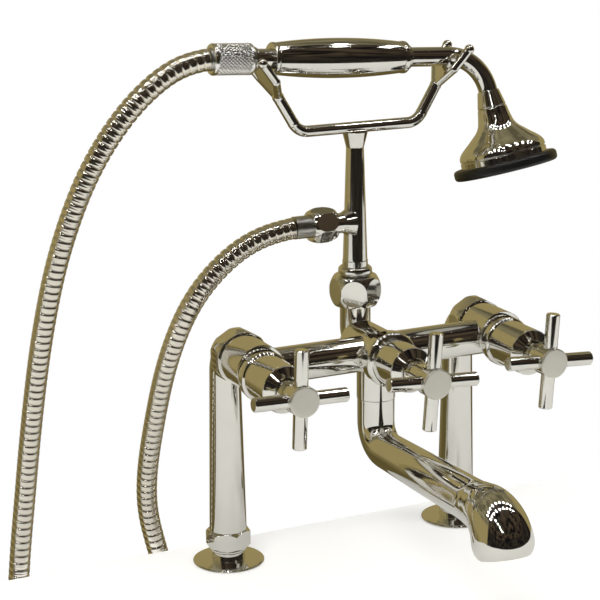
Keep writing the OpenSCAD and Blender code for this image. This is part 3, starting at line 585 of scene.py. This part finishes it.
class Finish(Enum):
    """The finishes of this mixer."""

    CHROME = Metal("chrome", (0.84, 0.83, 0.79), 0.06)
    KNURLED = Metal("knurled_chrome", (0.94, 0.95, 0.95), 0.13)
    CAP = Metal("cap_chrome", (0.92, 0.90, 0.82), 0.36, 0.25, 900.0)
    HOSE = Metal("hose_steel", (0.92, 0.88, 0.79), 0.16)
    SLEEVE = Metal("brushed_sleeve", (0.66, 0.65, 0.62), 0.28, 0.08, 500.0)
    STEEL = Metal("plain_steel", (0.60, 0.60, 0.58), 0.28)
    BRASS = Metal("turned_brass", (0.75, 0.57, 0.27), 0.25)
    RUBBER = Moulding("black_rubber", (0.006, 0.006, 0.006), 0.38)
    FIBRE = Moulding("pressed_fibre", (0.16, 0.06, 0.03), 0.8)
    PLASTIC = Moulding("white_plastic", (0.78, 0.78, 0.75), 0.5)


class Wall(Enum):
    """The walls of the room that shows in the polish."""

    DARK = Glow("dark_room", (0.035, 0.028, 0.020), (0.006, 0.006, 0.007))
    HAZE = Glow("hazy_room", (0.075, 0.055, 0.035), (0.004, 0.004, 0.005))
    DUSK = Glow("dusky_room", (0.28, 0.245, 0.14), (0.11, 0.095, 0.055))
    KHAKI = Glow("khaki_wall", (0.34, 0.277, 0.120), (0.12, 0.093, 0.033), fade=(-0.75, 0.15))
    LAMP = Glow("hall_lamp", WHITE, WHITE, 30.0)


SLOT_FINISH = {
    "chrome": Finish.CHROME,
    "knurled_chrome": Finish.KNURLED,
    "cap_chrome": Finish.CAP,
    "hose_steel": Finish.HOSE,
    "steel": Finish.STEEL,
    "brass": Finish.BRASS,
    "rubber": Finish.RUBBER,
    "fibre": Finish.FIBRE,
    "white_plastic": Finish.PLASTIC,
}
NODE_FINISH = {
    "lower_ferrule": Finish.SLEEVE,
    "upper_ferrule": Finish.SLEEVE,
}


class Finishes:
    """Materials made once and shared by the pieces."""

    def __init__(self) -> None:
        """Build every finish."""
        self.made = {finish: finish.value.material() for finish in Finish}

    def __getitem__(self, finish: Finish) -> bpy.types.Material:
        """The material of a finish."""
        return self.made[finish]

    def dress_nodes(self) -> None:
        """Give every CAD node its own finish, or else the finish of its record slot."""
        for entry in frame["record"]["subparts"]:
            mesh = frame["nodes"][entry["node"]].data
            finish = NODE_FINISH.get(entry["node"], SLOT_FINISH[entry["material_slot"]])
            mesh.materials.clear()
            mesh.materials.append(self[finish])


GRIP_CENTRE_MM = (-12, -16, 339)
GRIP_DIP = 2.9
GRIP_ROLL = -14
HANDSET = Place.at(*GRIP_CENTRE_MM).turned(Axis.Y, GRIP_DIP).turned(Axis.X, GRIP_ROLL)


@dataclass
class Hose:
    """The ribbed metal hose from the hand shower's coupling to the branch on the column."""

    diameter: float = 14.2 * MM
    bore: float = 9.0 * MM
    rib_pitch: float = 5.1 * MM
    groove_depth: float = 0.7 * MM
    groove_share: float = 0.09
    crown: float = 0.3 * MM
    seam_depth: float = 0.16 * MM
    seam_share: float = 0.06
    rings_per_rib: int = 14
    sides: int = 24
    crease: float = 60.0
    line_points: int = 1400
    path_points: int = 240
    ease_reach: float = 14.0 * MM
    ease_passes: int = 3
    heading_step: float = 0.4 * MM

    # The route, as it is in the solids: the fall from the coupling, the loop and the climb to the branch
    fall_mm: Route = (
        (-29.4, 0, -8.1), (-48.4, 1, -22.6), (-67.4, 4, -46.6), (-81.4, 8, -71.6), (-90.4, 14, -97.6),
    )
    loop_mm: Route = (
        (-200, 5, 220), (-205, 13, 190), (-209, 21, 158), (-212, 29, 124), (-215, 36, 88),
        (-218, 42, 50), (-222, 46, 10), (-226, 48, -40), (-230, 50, -90), (-231, 50, -140),
        (-224, 50, -182), (-202, 50, -214), (-168, 50, -226), (-134, 50, -214), (-112, 50, -182),
        (-105, 50, -140), (-107, 50, -90), (-115, 48, -40), (-124, 46, 0), (-131, 43, 24),
        (-133, 38, 52), (-132, 30, 80), (-130, 21, 108), (-127, 11, 138),
    )
    climb_mm: Route = (
        (-75.8, 17, -64), (-66.3, 8, -38.5), (-51.8, 3, -21), (-35, 1, -7.5),
    )
    start_along_mm: float = -90.9
    foot_mm: Point = (-45.2, -16, 230)

    # Straight ends, as diameters away from the coupling and from the branch
    straight_out: tuple[float, ...] = (0.0, 0.5, 1.0)
    straight_in: tuple[float, ...] = (0.8, 0.4, 0.0)

    # Where the hose stays still, and from where on it would rise with the hand shower; nothing here makes it
    # rise
    still_at: Point = (-0.155, 0.0, 0.155)
    lifted_at: Point = (-0.22, 0.0, 0.22)

    def knots(self) -> Array:
        """The points that the hose passes: straight ends, the fall, the loop and the climb.

        Returns:
            The points in metres.
        """
        axis = HANDSET.axes[:, Axis.X]
        top = HANDSET.moved(self.start_along_mm, 0, 0).origin
        foot = np.array(self.foot_mm) * MM
        first = top - np.array(self.straight_out)[:, None] * self.diameter * axis
        last = foot - np.array(self.straight_in)[:, None] * self.diameter * np.array([1.0, 0.0, 0.0])
        fall = top + np.array(self.fall_mm) * MM
        climb = foot + np.array(self.climb_mm) * MM
        return np.concatenate([first, fall, np.array(self.loop_mm) * MM, climb, last])

    def tube(self, line: Array, at: Array, where: Array, radius: Array) -> Array:
        """Rings square to the centreline: a point is centre + radius * (cos * side + sin * up).

        Args:
            line: The centreline's points.
            at: The running length at each of them.
            where: Running lengths of the rings.
            radius: Radius of each ring.

        Returns:
            Grid of points, ring by ring.
        """
        centre = points_at(where, at, line)
        ahead = points_at(where + self.heading_step, at, line)
        behind = points_at(where - self.heading_step, at, line)
        heading = unit(ahead - behind)
        side = unit(np.cross(heading, np.array([0.0, 1.0, 0.0])))
        up = np.cross(side, heading)
        angle = round_angles(self.sides)[None, :, None]
        spoke = np.cos(angle) * side[:, None] + np.sin(angle) * up[:, None]
        return centre[:, None] + radius[:, None, None] * spoke

    def build(self, finishes: Finishes) -> bpy.types.Object:
        """The line through the route's points is eased, which rounds off its tightest bends. Along the length
        each rib is a low parabola, its crown. The groove between two ribs, and the shallow seam in the middle
        of each rib where the wound strip locks, are narrow bell curves.

        Args:
            finishes: The shared materials.

        Returns:
            The hose.
        """
        rough = through(self.knots(), self.line_points)
        step = np.linalg.norm(np.diff(rough, axis=0), axis=1).mean()
        line = eased(rough, round(self.ease_reach / step), self.ease_passes)
        at = running_length(line)
        length = at[-1]
        ribs = round(length / self.rib_pitch)
        where = np.linspace(0.0, length, ribs * self.rings_per_rib + 1)
        phase = np.abs((where / length * ribs) % 1.0 - 0.5)
        groove = np.exp(-(((0.5 - phase) / self.groove_share) ** 2))
        seam = np.exp(-((phase / self.seam_share) ** 2))
        drop = self.groove_depth * groove + self.crown * (2 * phase) ** 2 + self.seam_depth * seam
        outer = self.tube(line, at, where, self.diameter / 2 - drop)
        inner = self.tube(line, at, np.linspace(length, 0.0, ribs), np.full(ribs, self.bore / 2))
        skin = Surface.grid(np.concatenate([outer, inner]))
        piece = make_piece("ribbed_hose", skin, finishes[Finish.HOSE], self.crease)
        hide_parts("shower_hose")
        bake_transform(piece)
        return piece


@dataclass
class HandShower:
    """The hand shower's knurled coupling, swelling grip and bell. Heights run along a piece's own axis."""

    coupling_start_mm: float = -89.5
    coupling_len_mm: float = 28.0
    coupling_r_mm: float = 10.1
    coupling_round_mm: float = 1.6
    coupling_bore_mm: float = 7.3
    coupling_wide_bore_mm: float = 8.4
    coupling_wall_mm: float = 7.4
    coupling_rows: int = 190
    coupling_sides: int = 420
    coupling_crease: float = 30.0
    knurl_depth_mm: float = 0.55
    knurls: int = 30
    knurl_pitch_mm: float = 1.3
    knurl_margin_mm: float = 2.2
    knurl_fade_mm: float = 0.8

    grip_len_mm: float = 90.0
    grip_mid_r_mm: float = 12.9
    grip_end_r_mm: float = 10.3
    grip_round_mm: float = 0.9
    grip_bore_mm: float = 6.6
    grip_rows: int = 90
    grip_sides: int = 128

    pipe_reach_mm: float = 82.5
    pipe_bend_r_mm: float = 28.8
    pipe_bend: float = 79.0

    bell_len_mm: float = 50.2
    bell_rim_r_mm: float = 29.2
    bell_rim_bevel_mm: float = 0.3
    bell_wall_mm: float = 1.8
    bell_lip_mm: float = 42.0
    bell_seat_mm: float = 47.8
    bell_seat_r_mm: float = 27.8
    bell_roof_mm: float = 12.0
    bell_floor_mm: float = 6.0
    bell_floor_r_mm: float = 7.2
    bell_socket_mm: float = 4.0
    bell_socket_r_mm: float = 6.9
    bell_bore_mm: float = 4.5
    bell_collar_mm: Outline = ((7.2, 0.0), (7.6, 1.6), (8.5, 5.6), (9.65, 10.7))
    bell_seam_mm: Outline = ((9.25, 11.0), (9.25, 11.5))
    bell_flare_mm: Outline = (
        (9.9, 11.8), (10.5, 15.5), (11.35, 19.3), (12.3, 22.6), (14.4, 26.0), (17.6, 29.0), (21.2, 32.2),
        (24.6, 35.0), (27.3, 37.6), (28.8, 40.0), (29.1, 41.6),
    )
    bell_groove_mm: Outline = ((29.2, 42.4), (29.2, 42.9), (28.5, 43.2), (28.5, 43.7), (29.2, 44.0))
    bell_collar_rows: int = 24
    bell_flare_rows: int = 90
    bell_inner_skip: int = 6
    bell_sides: int = 160
    turned_crease: float = 40.0

    def coupling(self, finishes: Finishes) -> bpy.types.Object:
        """A turned sleeve whose middle is cut by two crossing helical sets of grooves.

        The radius falls by the knurl depth times the larger of two triangle waves, one rising and one
        falling round the axis, faded out at both ends.

        Args:
            finishes: The shared materials.

        Returns:
            The coupling.
        """
        r = self.coupling_r_mm
        h = self.coupling_len_mm
        margin = self.knurl_margin_mm
        corner = self.coupling_round_mm
        rows = np.linspace(margin, h - margin, self.coupling_rows)
        side = np.stack([np.full(rows.shape, r), rows], axis=-1)
        lower = arc((r - corner, corner), corner, -90, 0)
        upper = arc((r - corner, h - corner), corner, 0, 90)
        bore = np.array([
            [self.coupling_wide_bore_mm, h], [self.coupling_wide_bore_mm, self.coupling_wall_mm],
            [self.coupling_bore_mm, self.coupling_wall_mm], [self.coupling_bore_mm, 0.0],
        ])
        outline = np.concatenate([lower, side, upper, bore])
        radius, height = outline.T
        turn = np.linspace(0.0, 1.0, self.coupling_sides, endpoint=False)[None, :] * self.knurls
        climb = height[:, None] / (2 * self.knurl_pitch_mm)
        rise = np.abs((turn + climb) % 1.0 - 0.5) * 2
        fall = np.abs((turn - climb) % 1.0 - 0.5) * 2
        ends = np.clip(np.minimum(height - margin, h - margin - height) / self.knurl_fade_mm, 0.0, 1.0)
        fade = np.where(radius > self.coupling_wide_bore_mm, ends, 0.0)[:, None]
        swell = -self.knurl_depth_mm * fade * np.maximum(rise, fall)
        place = HANDSET.moved(self.coupling_start_mm, 0, 0).turned(Axis.Y, 90)
        skin = place.revolve(outline, self.coupling_sides, swell)
        piece = make_piece("knurled_coupling", skin, finishes[Finish.KNURLED], self.coupling_crease)
        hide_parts("hose_coupling")
        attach(piece, Body.HAND_SHOWER.value)
        return piece

    def grip(self, finishes: Finishes) -> bpy.types.Object:
        """A barrel whose outline is one arc from end to end, with small rounded shoulders.

        The arc's radius is (length^2 / 4 + rise^2) / (2 * rise), where the rise is how far the middle
        swells past the ends.

        Args:
            finishes: The shared materials.

        Returns:
            The grip.
        """
        h = self.grip_len_mm
        rise = self.grip_mid_r_mm - self.grip_end_r_mm
        radius = (h * h / 4 + rise * rise) / (2 * rise)
        corner = self.grip_round_mm
        z = np.linspace(corner, h - corner, self.grip_rows)
        side = np.stack([self.grip_mid_r_mm - radius + np.sqrt(radius**2 - (z - h / 2) ** 2), z], axis=-1)
        low = arc((side[0, 0] - corner, corner), corner, -90, 0)
        high = arc((side[-1, 0] - corner, h - corner), corner, 0, 90)
        bore = np.array([[self.grip_bore_mm, h], [self.grip_bore_mm, 0.0]])
        outline = np.concatenate([low[:-1], side, high[1:], bore])
        place = HANDSET.moved(-h / 2, 0, 0).turned(Axis.Y, 90)
        skin = place.revolve(outline, self.grip_sides)
        piece = make_piece("grip_barrel", skin, finishes[Finish.CHROME], self.turned_crease)
        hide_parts("grip")
        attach(piece, Body.HAND_SHOWER.value)
        return piece

    def bell(self, finishes: Finishes) -> bpy.types.Object:
        """A spun bell: collar, seam groove, smooth flare and a banded rim, hollow inside.

        Collar and flare are smooth curves through a few sizes, and the inside follows the flare one wall
        thickness nearer to the axis. The whole outline is then turned about the end of the bent pipe.

        Args:
            finishes: The shared materials.

        Returns:
            The bell.
        """
        h = self.bell_len_mm
        rim = self.bell_rim_r_mm
        bevel = self.bell_rim_bevel_mm
        wall = self.bell_wall_mm
        collar = through(np.array(self.bell_collar_mm), self.bell_collar_rows)
        flare = through(np.array(self.bell_flare_mm), self.bell_flare_rows)
        edge = np.array([[rim, h - bevel], [rim - bevel, h]])
        seat = np.array([[self.bell_seat_r_mm, h], [self.bell_seat_r_mm, self.bell_seat_mm]])
        lip = np.array([[rim - wall, self.bell_seat_mm], [rim - wall, self.bell_lip_mm]])
        inner = flare[::-self.bell_inner_skip] - np.array([[wall, 0.0]])
        inner = inner[(inner[:, 1] < self.bell_seat_mm) & (inner[:, 1] > self.bell_roof_mm)]
        floor = np.array([
            [self.bell_floor_r_mm, self.bell_floor_mm], [self.bell_bore_mm, self.bell_floor_mm],
            [self.bell_bore_mm, self.bell_socket_mm], [self.bell_socket_r_mm, self.bell_socket_mm],
            [self.bell_socket_r_mm, 0.0],
        ])
        outline = np.concatenate([
            collar, self.bell_seam_mm, flare, self.bell_groove_mm, edge, seat, lip, inner, floor,
        ])
        bend = math.radians(self.pipe_bend)
        place = HANDSET.moved(
            self.pipe_reach_mm + self.pipe_bend_r_mm * math.sin(bend),
            0,
            -self.pipe_bend_r_mm * (1 - math.cos(bend)),
        ).turned(Axis.Y, 90 + self.pipe_bend)
        skin = place.revolve(outline, self.bell_sides)
        piece = make_piece("spun_bell", skin, finishes[Finish.CHROME], self.turned_crease)
        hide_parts("bell")
        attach(piece, Body.HAND_SHOWER.value)
        return piece

    def build(self, finishes: Finishes) -> list[bpy.types.Object]:
        """Make the coupling, the grip and the bell."""
        return [self.coupling(finishes), self.grip(finishes), self.bell(finishes)]


@dataclass
class Spout:
    """The swivelling spout: one smooth tube from its swivel tail to the rounded lip of its outlet."""

    axis_y_mm: float = -46.05
    top_z_mm: float = 116.7
    tail_top_mm: float = 132.0
    tail_r_mm: float = 8.95
    tail_bore_mm: float = 5.95
    drop_mm: float = 15.8
    bend_r_mm: float = 17.0
    rise: float = 1.2
    run_mm: float = 124.7
    nose_bend_r_mm: float = 20.8
    nose_bend: float = 73.6
    lip_len_mm: float = 8.8
    wall_mm: float = 3.0
    bore_r_mm: float = 13.7
    shoulder_mm: float = 3.0
    drop_rows: int = 12
    bend_rows: int = 40
    run_rows: int = 70
    nose_rows: int = 56
    lip_rows: int = 30
    size_rows: int = 600
    sides: int = 96
    crease: float = 50.0

    # Running length from the top of the drop, and the outer radius there
    sizes_mm: Outline = (
        (0.0, 12.4), (42.0, 12.4), (95.0, 13.1), (147.0, 13.7), (158.0, 14.6), (167.0, 15.8),
        (176.0, 17.1), (185.0, 18.3), (191.0, 18.9), (195.0, 18.8), (198.5, 18.0), (201.0, 16.7),
        (202.4, 15.3),
    )

    def centreline(self) -> tuple[Array, Array]:
        """The tube's axis in the plane x = 0: straight drop, bend, straight run, nose bend and short end.

        Returns:
            Points and unit headings along it, as y and z.
        """
        rise = math.radians(self.rise)
        low = self.top_z_mm - self.drop_mm
        heights = np.linspace(self.top_z_mm, low, self.drop_rows)
        drop = np.stack([np.full(self.drop_rows, self.axis_y_mm), heights], -1)
        a = np.linspace(0.0, math.radians(90 - self.rise), self.bend_rows)[1:]
        bend_y = self.axis_y_mm - self.bend_r_mm * (1 - np.cos(a))
        bend = np.stack([bend_y, low - self.bend_r_mm * np.sin(a)], -1)
        ahead = np.array([-math.cos(rise), math.sin(rise)])
        down = np.array([-math.sin(rise), -math.cos(rise)])
        run = bend[-1] + np.linspace(0.0, self.run_mm, self.run_rows)[1:, None] * ahead
        b = np.radians(np.linspace(0.0, self.nose_bend, self.nose_rows))[1:, None]
        nose = run[-1] + self.nose_bend_r_mm * (np.sin(b) * ahead + (1 - np.cos(b)) * down)
        last = math.cos(b[-1, 0]) * ahead + math.sin(b[-1, 0]) * down
        end = nose[-1] + np.linspace(0.0, self.lip_len_mm, self.lip_rows)[1:, None] * last
        line = np.concatenate([drop, bend, run, nose, end])
        return line, unit(np.gradient(line, axis=0))

    def build(self, finishes: Finishes) -> bpy.types.Object:
        """Sweep a circle along the axis while its radius swells towards the nose.

        A ring's point is axis + radius * (cos(angle) * x + sin(angle) * normal), the normal lying in
        the plane of the bends. The radius follows a smooth curve through a few sizes along the length,
        rolls in at the rounded lip of the outlet and returns inside as the bore.

        Args:
            finishes: The shared materials.

        Returns:
            The spout.
        """
        line, heading = self.centreline()
        at = running_length(line)
        smooth = through(np.array(self.sizes_mm), self.size_rows)
        radius = np.interp(at, smooth[:, 0], smooth[:, 1])
        bore = at > self.shoulder_mm
        top = self.top_z_mm - self.tail_top_mm
        where = np.concatenate([[top, top, 0.0], at, at[bore][::-1], [at[bore][0]]])
        tail = [self.tail_bore_mm, self.tail_r_mm, self.tail_r_mm]
        inside = np.minimum(radius[bore][::-1] - self.wall_mm, self.bore_r_mm)
        size = np.concatenate([tail, radius, inside, [self.tail_bore_mm]])[:, None]
        centre = points_at(where, at, line)
        centre[:, 1] += np.where(where < 0, -where, 0.0)
        head = points_at(where, at, heading)
        angle = round_angles(self.sides)[None, :]
        x = size * np.cos(angle)
        out = size * np.sin(angle)
        y = centre[:, :1] - out * head[:, 1:]
        z = centre[:, 1:] + out * head[:, :1]
        skin = Surface.grid(np.stack([x, y, z], axis=-1) * MM)
        piece = make_piece("bent_spout", skin, finishes[Finish.CHROME], self.crease)
        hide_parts("spout")
        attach(piece, Body.SPOUT.value)
        return piece


def put(thing: bpy.types.Object, axes: list[Array], place: Point) -> None:
    """Turn a camera or lamp, move it to its place and link it to the scene.

    Args:
        thing: The camera or lamp.
        axes: Directions of its own x, y and z axes.
        place: Its place.
    """
    matrix = np.eye(4)
    matrix[:3, :3] = np.stack(axes, axis=1)
    matrix[:3, 3] = place
    thing.matrix_world = matrix.T.tolist()
    bpy.context.scene.collection.objects.link(thing)


def card(name: str, low: Point, high: Point, material: bpy.types.Material, seen: bool = False) -> None:
    """Add a flat card to the studio, square to one axis.

    Args:
        name: Name of the card.
        low: One corner.
        high: The corner across from it, which shares one coordinate with the first.
        material: Its material.
        seen: Whether the camera sees it. If not, it only shows in polish.
    """
    flat = next(k for k in range(3) if low[k] == high[k])
    one, two = (k for k in range(3) if k != flat)
    corners = np.array([low] * 4, dtype=float)
    corners[1:3, one] = high[one]
    corners[2:4, two] = high[two]
    mesh = bpy.data.meshes.new(name)
    mesh.from_pydata(corners.tolist(), [], [(0, 1, 2, 3)])
    mesh.materials.append(material)
    thing = bpy.data.objects.new(name, mesh)
    bpy.context.scene.collection.objects.link(thing)
    thing.visible_camera = seen
    thing.visible_diffuse = seen
    thing.visible_shadow = seen


@dataclass(frozen=True)
class Lamp:
    """A soft square lamp that lights the mixer and doesn't show in its polish."""

    name: str
    place: Point
    power: float
    size: float = 0.9

    def build(self, target: Point) -> None:
        """Hang the lamp and turn it to its target: its own z axis points straight away from it.

        Args:
            target: The point that it shines at.
        """
        data = bpy.data.lights.new(self.name, "AREA")
        data.energy = self.power
        data.size = self.size
        lamp = bpy.data.objects.new(self.name, data)
        lamp.visible_glossy = False
        away = unit(np.array(self.place) - np.array(target))
        side = unit(np.cross((0.0, 0.0, 1.0), away))
        put(lamp, [side, np.cross(away, side), away], self.place)


@dataclass
class Room:
    """A closed room round the mixer that only its polished metal shows: khaki behind, dark in front."""

    half_width: float = 2.2
    back: float = 1.6
    front: float = -2.6
    ceiling: float = 2.0
    floor: float = -1.2
    front_floor: float = -0.01
    khaki_left: float = -0.3
    khaki_right: float = 0.1
    khaki_top: float = 1.25
    dark_top: float = 1.15
    dusk_from: float = 0.0
    row_reach: float = 1.8
    row_lamps: int = 9
    rows_at: tuple[float, ...] = (-0.45, 0.0)
    line_at: float = -1.2
    line_span: tuple[float, float] = (-2.3, -0.9)
    line_lamps: int = 5
    lamp_half: float = 0.05
    lamp_drop: float = 0.02

    def lamp_places(self) -> Array:
        """Where the hall's lamps hang: rows across the room and one line along it.

        Returns:
            The x and y of each lamp.
        """
        across = np.meshgrid(np.linspace(-self.row_reach, self.row_reach, self.row_lamps), self.rows_at)
        along = np.meshgrid([self.line_at], np.linspace(*self.line_span, self.line_lamps))
        return np.concatenate([np.array(places).reshape(2, -1).T for places in (across, along)])

    def build(self, deck_front: float, deck_rear: float) -> None:
        """Put up the walls, the ceiling, the floor round the deck and the hall's lamps.

        Args:
            deck_front: Where the deck begins, as y.
            deck_rear: Where it ends.
        """
        dark, haze, dusk, khaki, lamp = (wall.value.material() for wall in Wall)
        w, back, front, top, low = self.half_width, self.back, self.front, self.ceiling, self.floor
        rail, brow = self.khaki_top, self.dark_top
        card("back_wall", (-w, back, low), (w, back, rail), khaki)
        card("back_upper", (-w, back, rail), (w, back, top), dusk)
        card("front_wall", (-w, front, low), (w, front, brow), dark)
        card("front_upper", (-w, front, brow), (w, front, top), haze)
        for name, x, side in (("left", -w, self.khaki_left), ("right", w, self.khaki_right)):
            card(f"{name}_rear", (x, side, low), (x, back, rail), khaki)
            card(f"{name}_upper", (x, side, rail), (x, back, top), dusk)
            card(f"{name}_front", (x, front, low), (x, side, brow), dark)
            card(f"{name}_front_upper", (x, front, brow), (x, side, top), haze)
        card("ceiling_front", (-w, front, top), (w, self.dusk_from, top), haze)
        card("ceiling_rear", (-w, self.dusk_from, top), (w, back, top), dusk)
        card("floor_front", (-w, front, self.front_floor), (w, deck_front, self.front_floor), dark)
        card("floor_rear", (-w, deck_rear, low), (w, back, low), khaki)
        half = self.lamp_half
        hung = top - self.lamp_drop
        for index, (x, y) in enumerate(self.lamp_places()):
            card(f"hall_lamp_{index}", (x - half, y - half, hung), (x + half, y + half, hung), lamp)


@dataclass
class Studio:
    """Camera, deck, room, lamps and world."""

    azimuth: float = -25.34
    elevation: float = 14.75
    roll: float = -0.53
    focal_px: float = 1810.05
    image_px: float = 600.0
    sensor_mm: float = 36.0
    clip_start: float = 0.01
    position: Point = (-0.53596, -1.06135, 0.48552)
    deck_half_width: float = 1.4
    deck_front: float = -0.73
    deck_rear: float = 0.0335
    deck_level: float = -0.0003
    deck_colour: Colour = (0.74, 0.73, 0.69)
    deck_lift: float = 0.42
    lamps: tuple[Lamp, ...] = (
        Lamp("key_lamp", (-0.9, -0.9, 1.5), 16.0),
        Lamp("fill_lamp", (1.1, -0.7, 1.2), 8.0),
    )
    lamp_target: Point = (-0.05, -0.05, 0.18)
    world_light: float = 0.55

    def camera(self) -> None:
        """Place the camera where the photograph was taken from."""
        a, e, r = (math.radians(v) for v in (self.azimuth, self.elevation, self.roll))
        right = np.array([math.cos(a), math.sin(a), 0.0])
        back = np.array([math.sin(a) * math.cos(e), -math.cos(a) * math.cos(e), math.sin(e)])
        up = np.cross(back, right)
        rolled = math.cos(r) * right + math.sin(r) * up
        upright = -math.sin(r) * right + math.cos(r) * up
        data = bpy.data.cameras.new("camera")
        data.sensor_width = self.sensor_mm
        data.lens = self.focal_px / self.image_px * self.sensor_mm
        data.clip_start = self.clip_start
        camera = bpy.data.objects.new("camera", data)
        put(camera, [rolled, upright, back], self.position)
        bpy.context.scene.camera = camera

    def deck(self) -> None:
        """The white deck that the mixer stands on, a little brighter to the camera than as light."""
        tree = NodeTree(bpy.data.materials.new("white_deck"))
        rays = tree.add("ShaderNodeLightPath")
        matt = tree.add("ShaderNodeBsdfDiffuse", Color=(*self.deck_colour, 1.0)).outputs["BSDF"]
        lift = tree.add("ShaderNodeEmission", Color=(*WHITE, 1.0), Strength=self.deck_lift)
        both = tree.pair("ShaderNodeAddShader", matt, lift.outputs["Emission"])
        mix = tree.pair("ShaderNodeMixShader", matt, both.outputs["Shader"], 1)
        tree.feed(mix, "Fac", rays.outputs["Is Camera Ray"])
        white = tree.close(mix.outputs["Shader"])
        low = (-self.deck_half_width, self.deck_front, self.deck_level)
        high = (self.deck_half_width, self.deck_rear, self.deck_level)
        card("deck", low, high, white, seen=True)

    def world(self) -> None:
        """A world that is white to the camera and in polish, and dimmer as light."""
        tree = NodeTree(bpy.data.worlds.new("white_world"))
        rays = tree.add("ShaderNodeLightPath").outputs
        seen = tree.sums("MAXIMUM", rays["Is Camera Ray"], rays["Is Glossy Ray"])
        seen = tree.sums("MAXIMUM", seen, rays["Is Transmission Ray"])
        level = tree.add("ShaderNodeMapRange", Value=seen, To_Min=self.world_light, To_Max=1.0)
        light = tree.add("ShaderNodeBackground", Color=(*WHITE, 1.0), Strength=level.outputs["Result"])
        bpy.context.scene.world = tree.close(light.outputs["Background"], "ShaderNodeOutputWorld")

    def build(self) -> None:
        """Set up the whole studio."""
        bpy.context.scene.view_settings.view_transform = "Standard"
        self.camera()
        self.deck()
        Room().build(self.deck_front, self.deck_rear)
        for lamp in self.lamps:
            lamp.build(self.lamp_target)
        self.world()


def main() -> None:
    """Dress the mixer, build its pieces and set up the studio."""
    logging.basicConfig(level=logging.INFO, format="%(name)s: %(message)s")
    finishes = Finishes()
    finishes.dress_nodes()
    Studio().build()
    pieces = [Hose().build(finishes), Spout().build(finishes), *HandShower().build(finishes)]
    for piece in pieces:
        LOG.info("%s: %d faces", piece.name, len(piece.data.polygons))


if __name__ == "__main__":
    main()
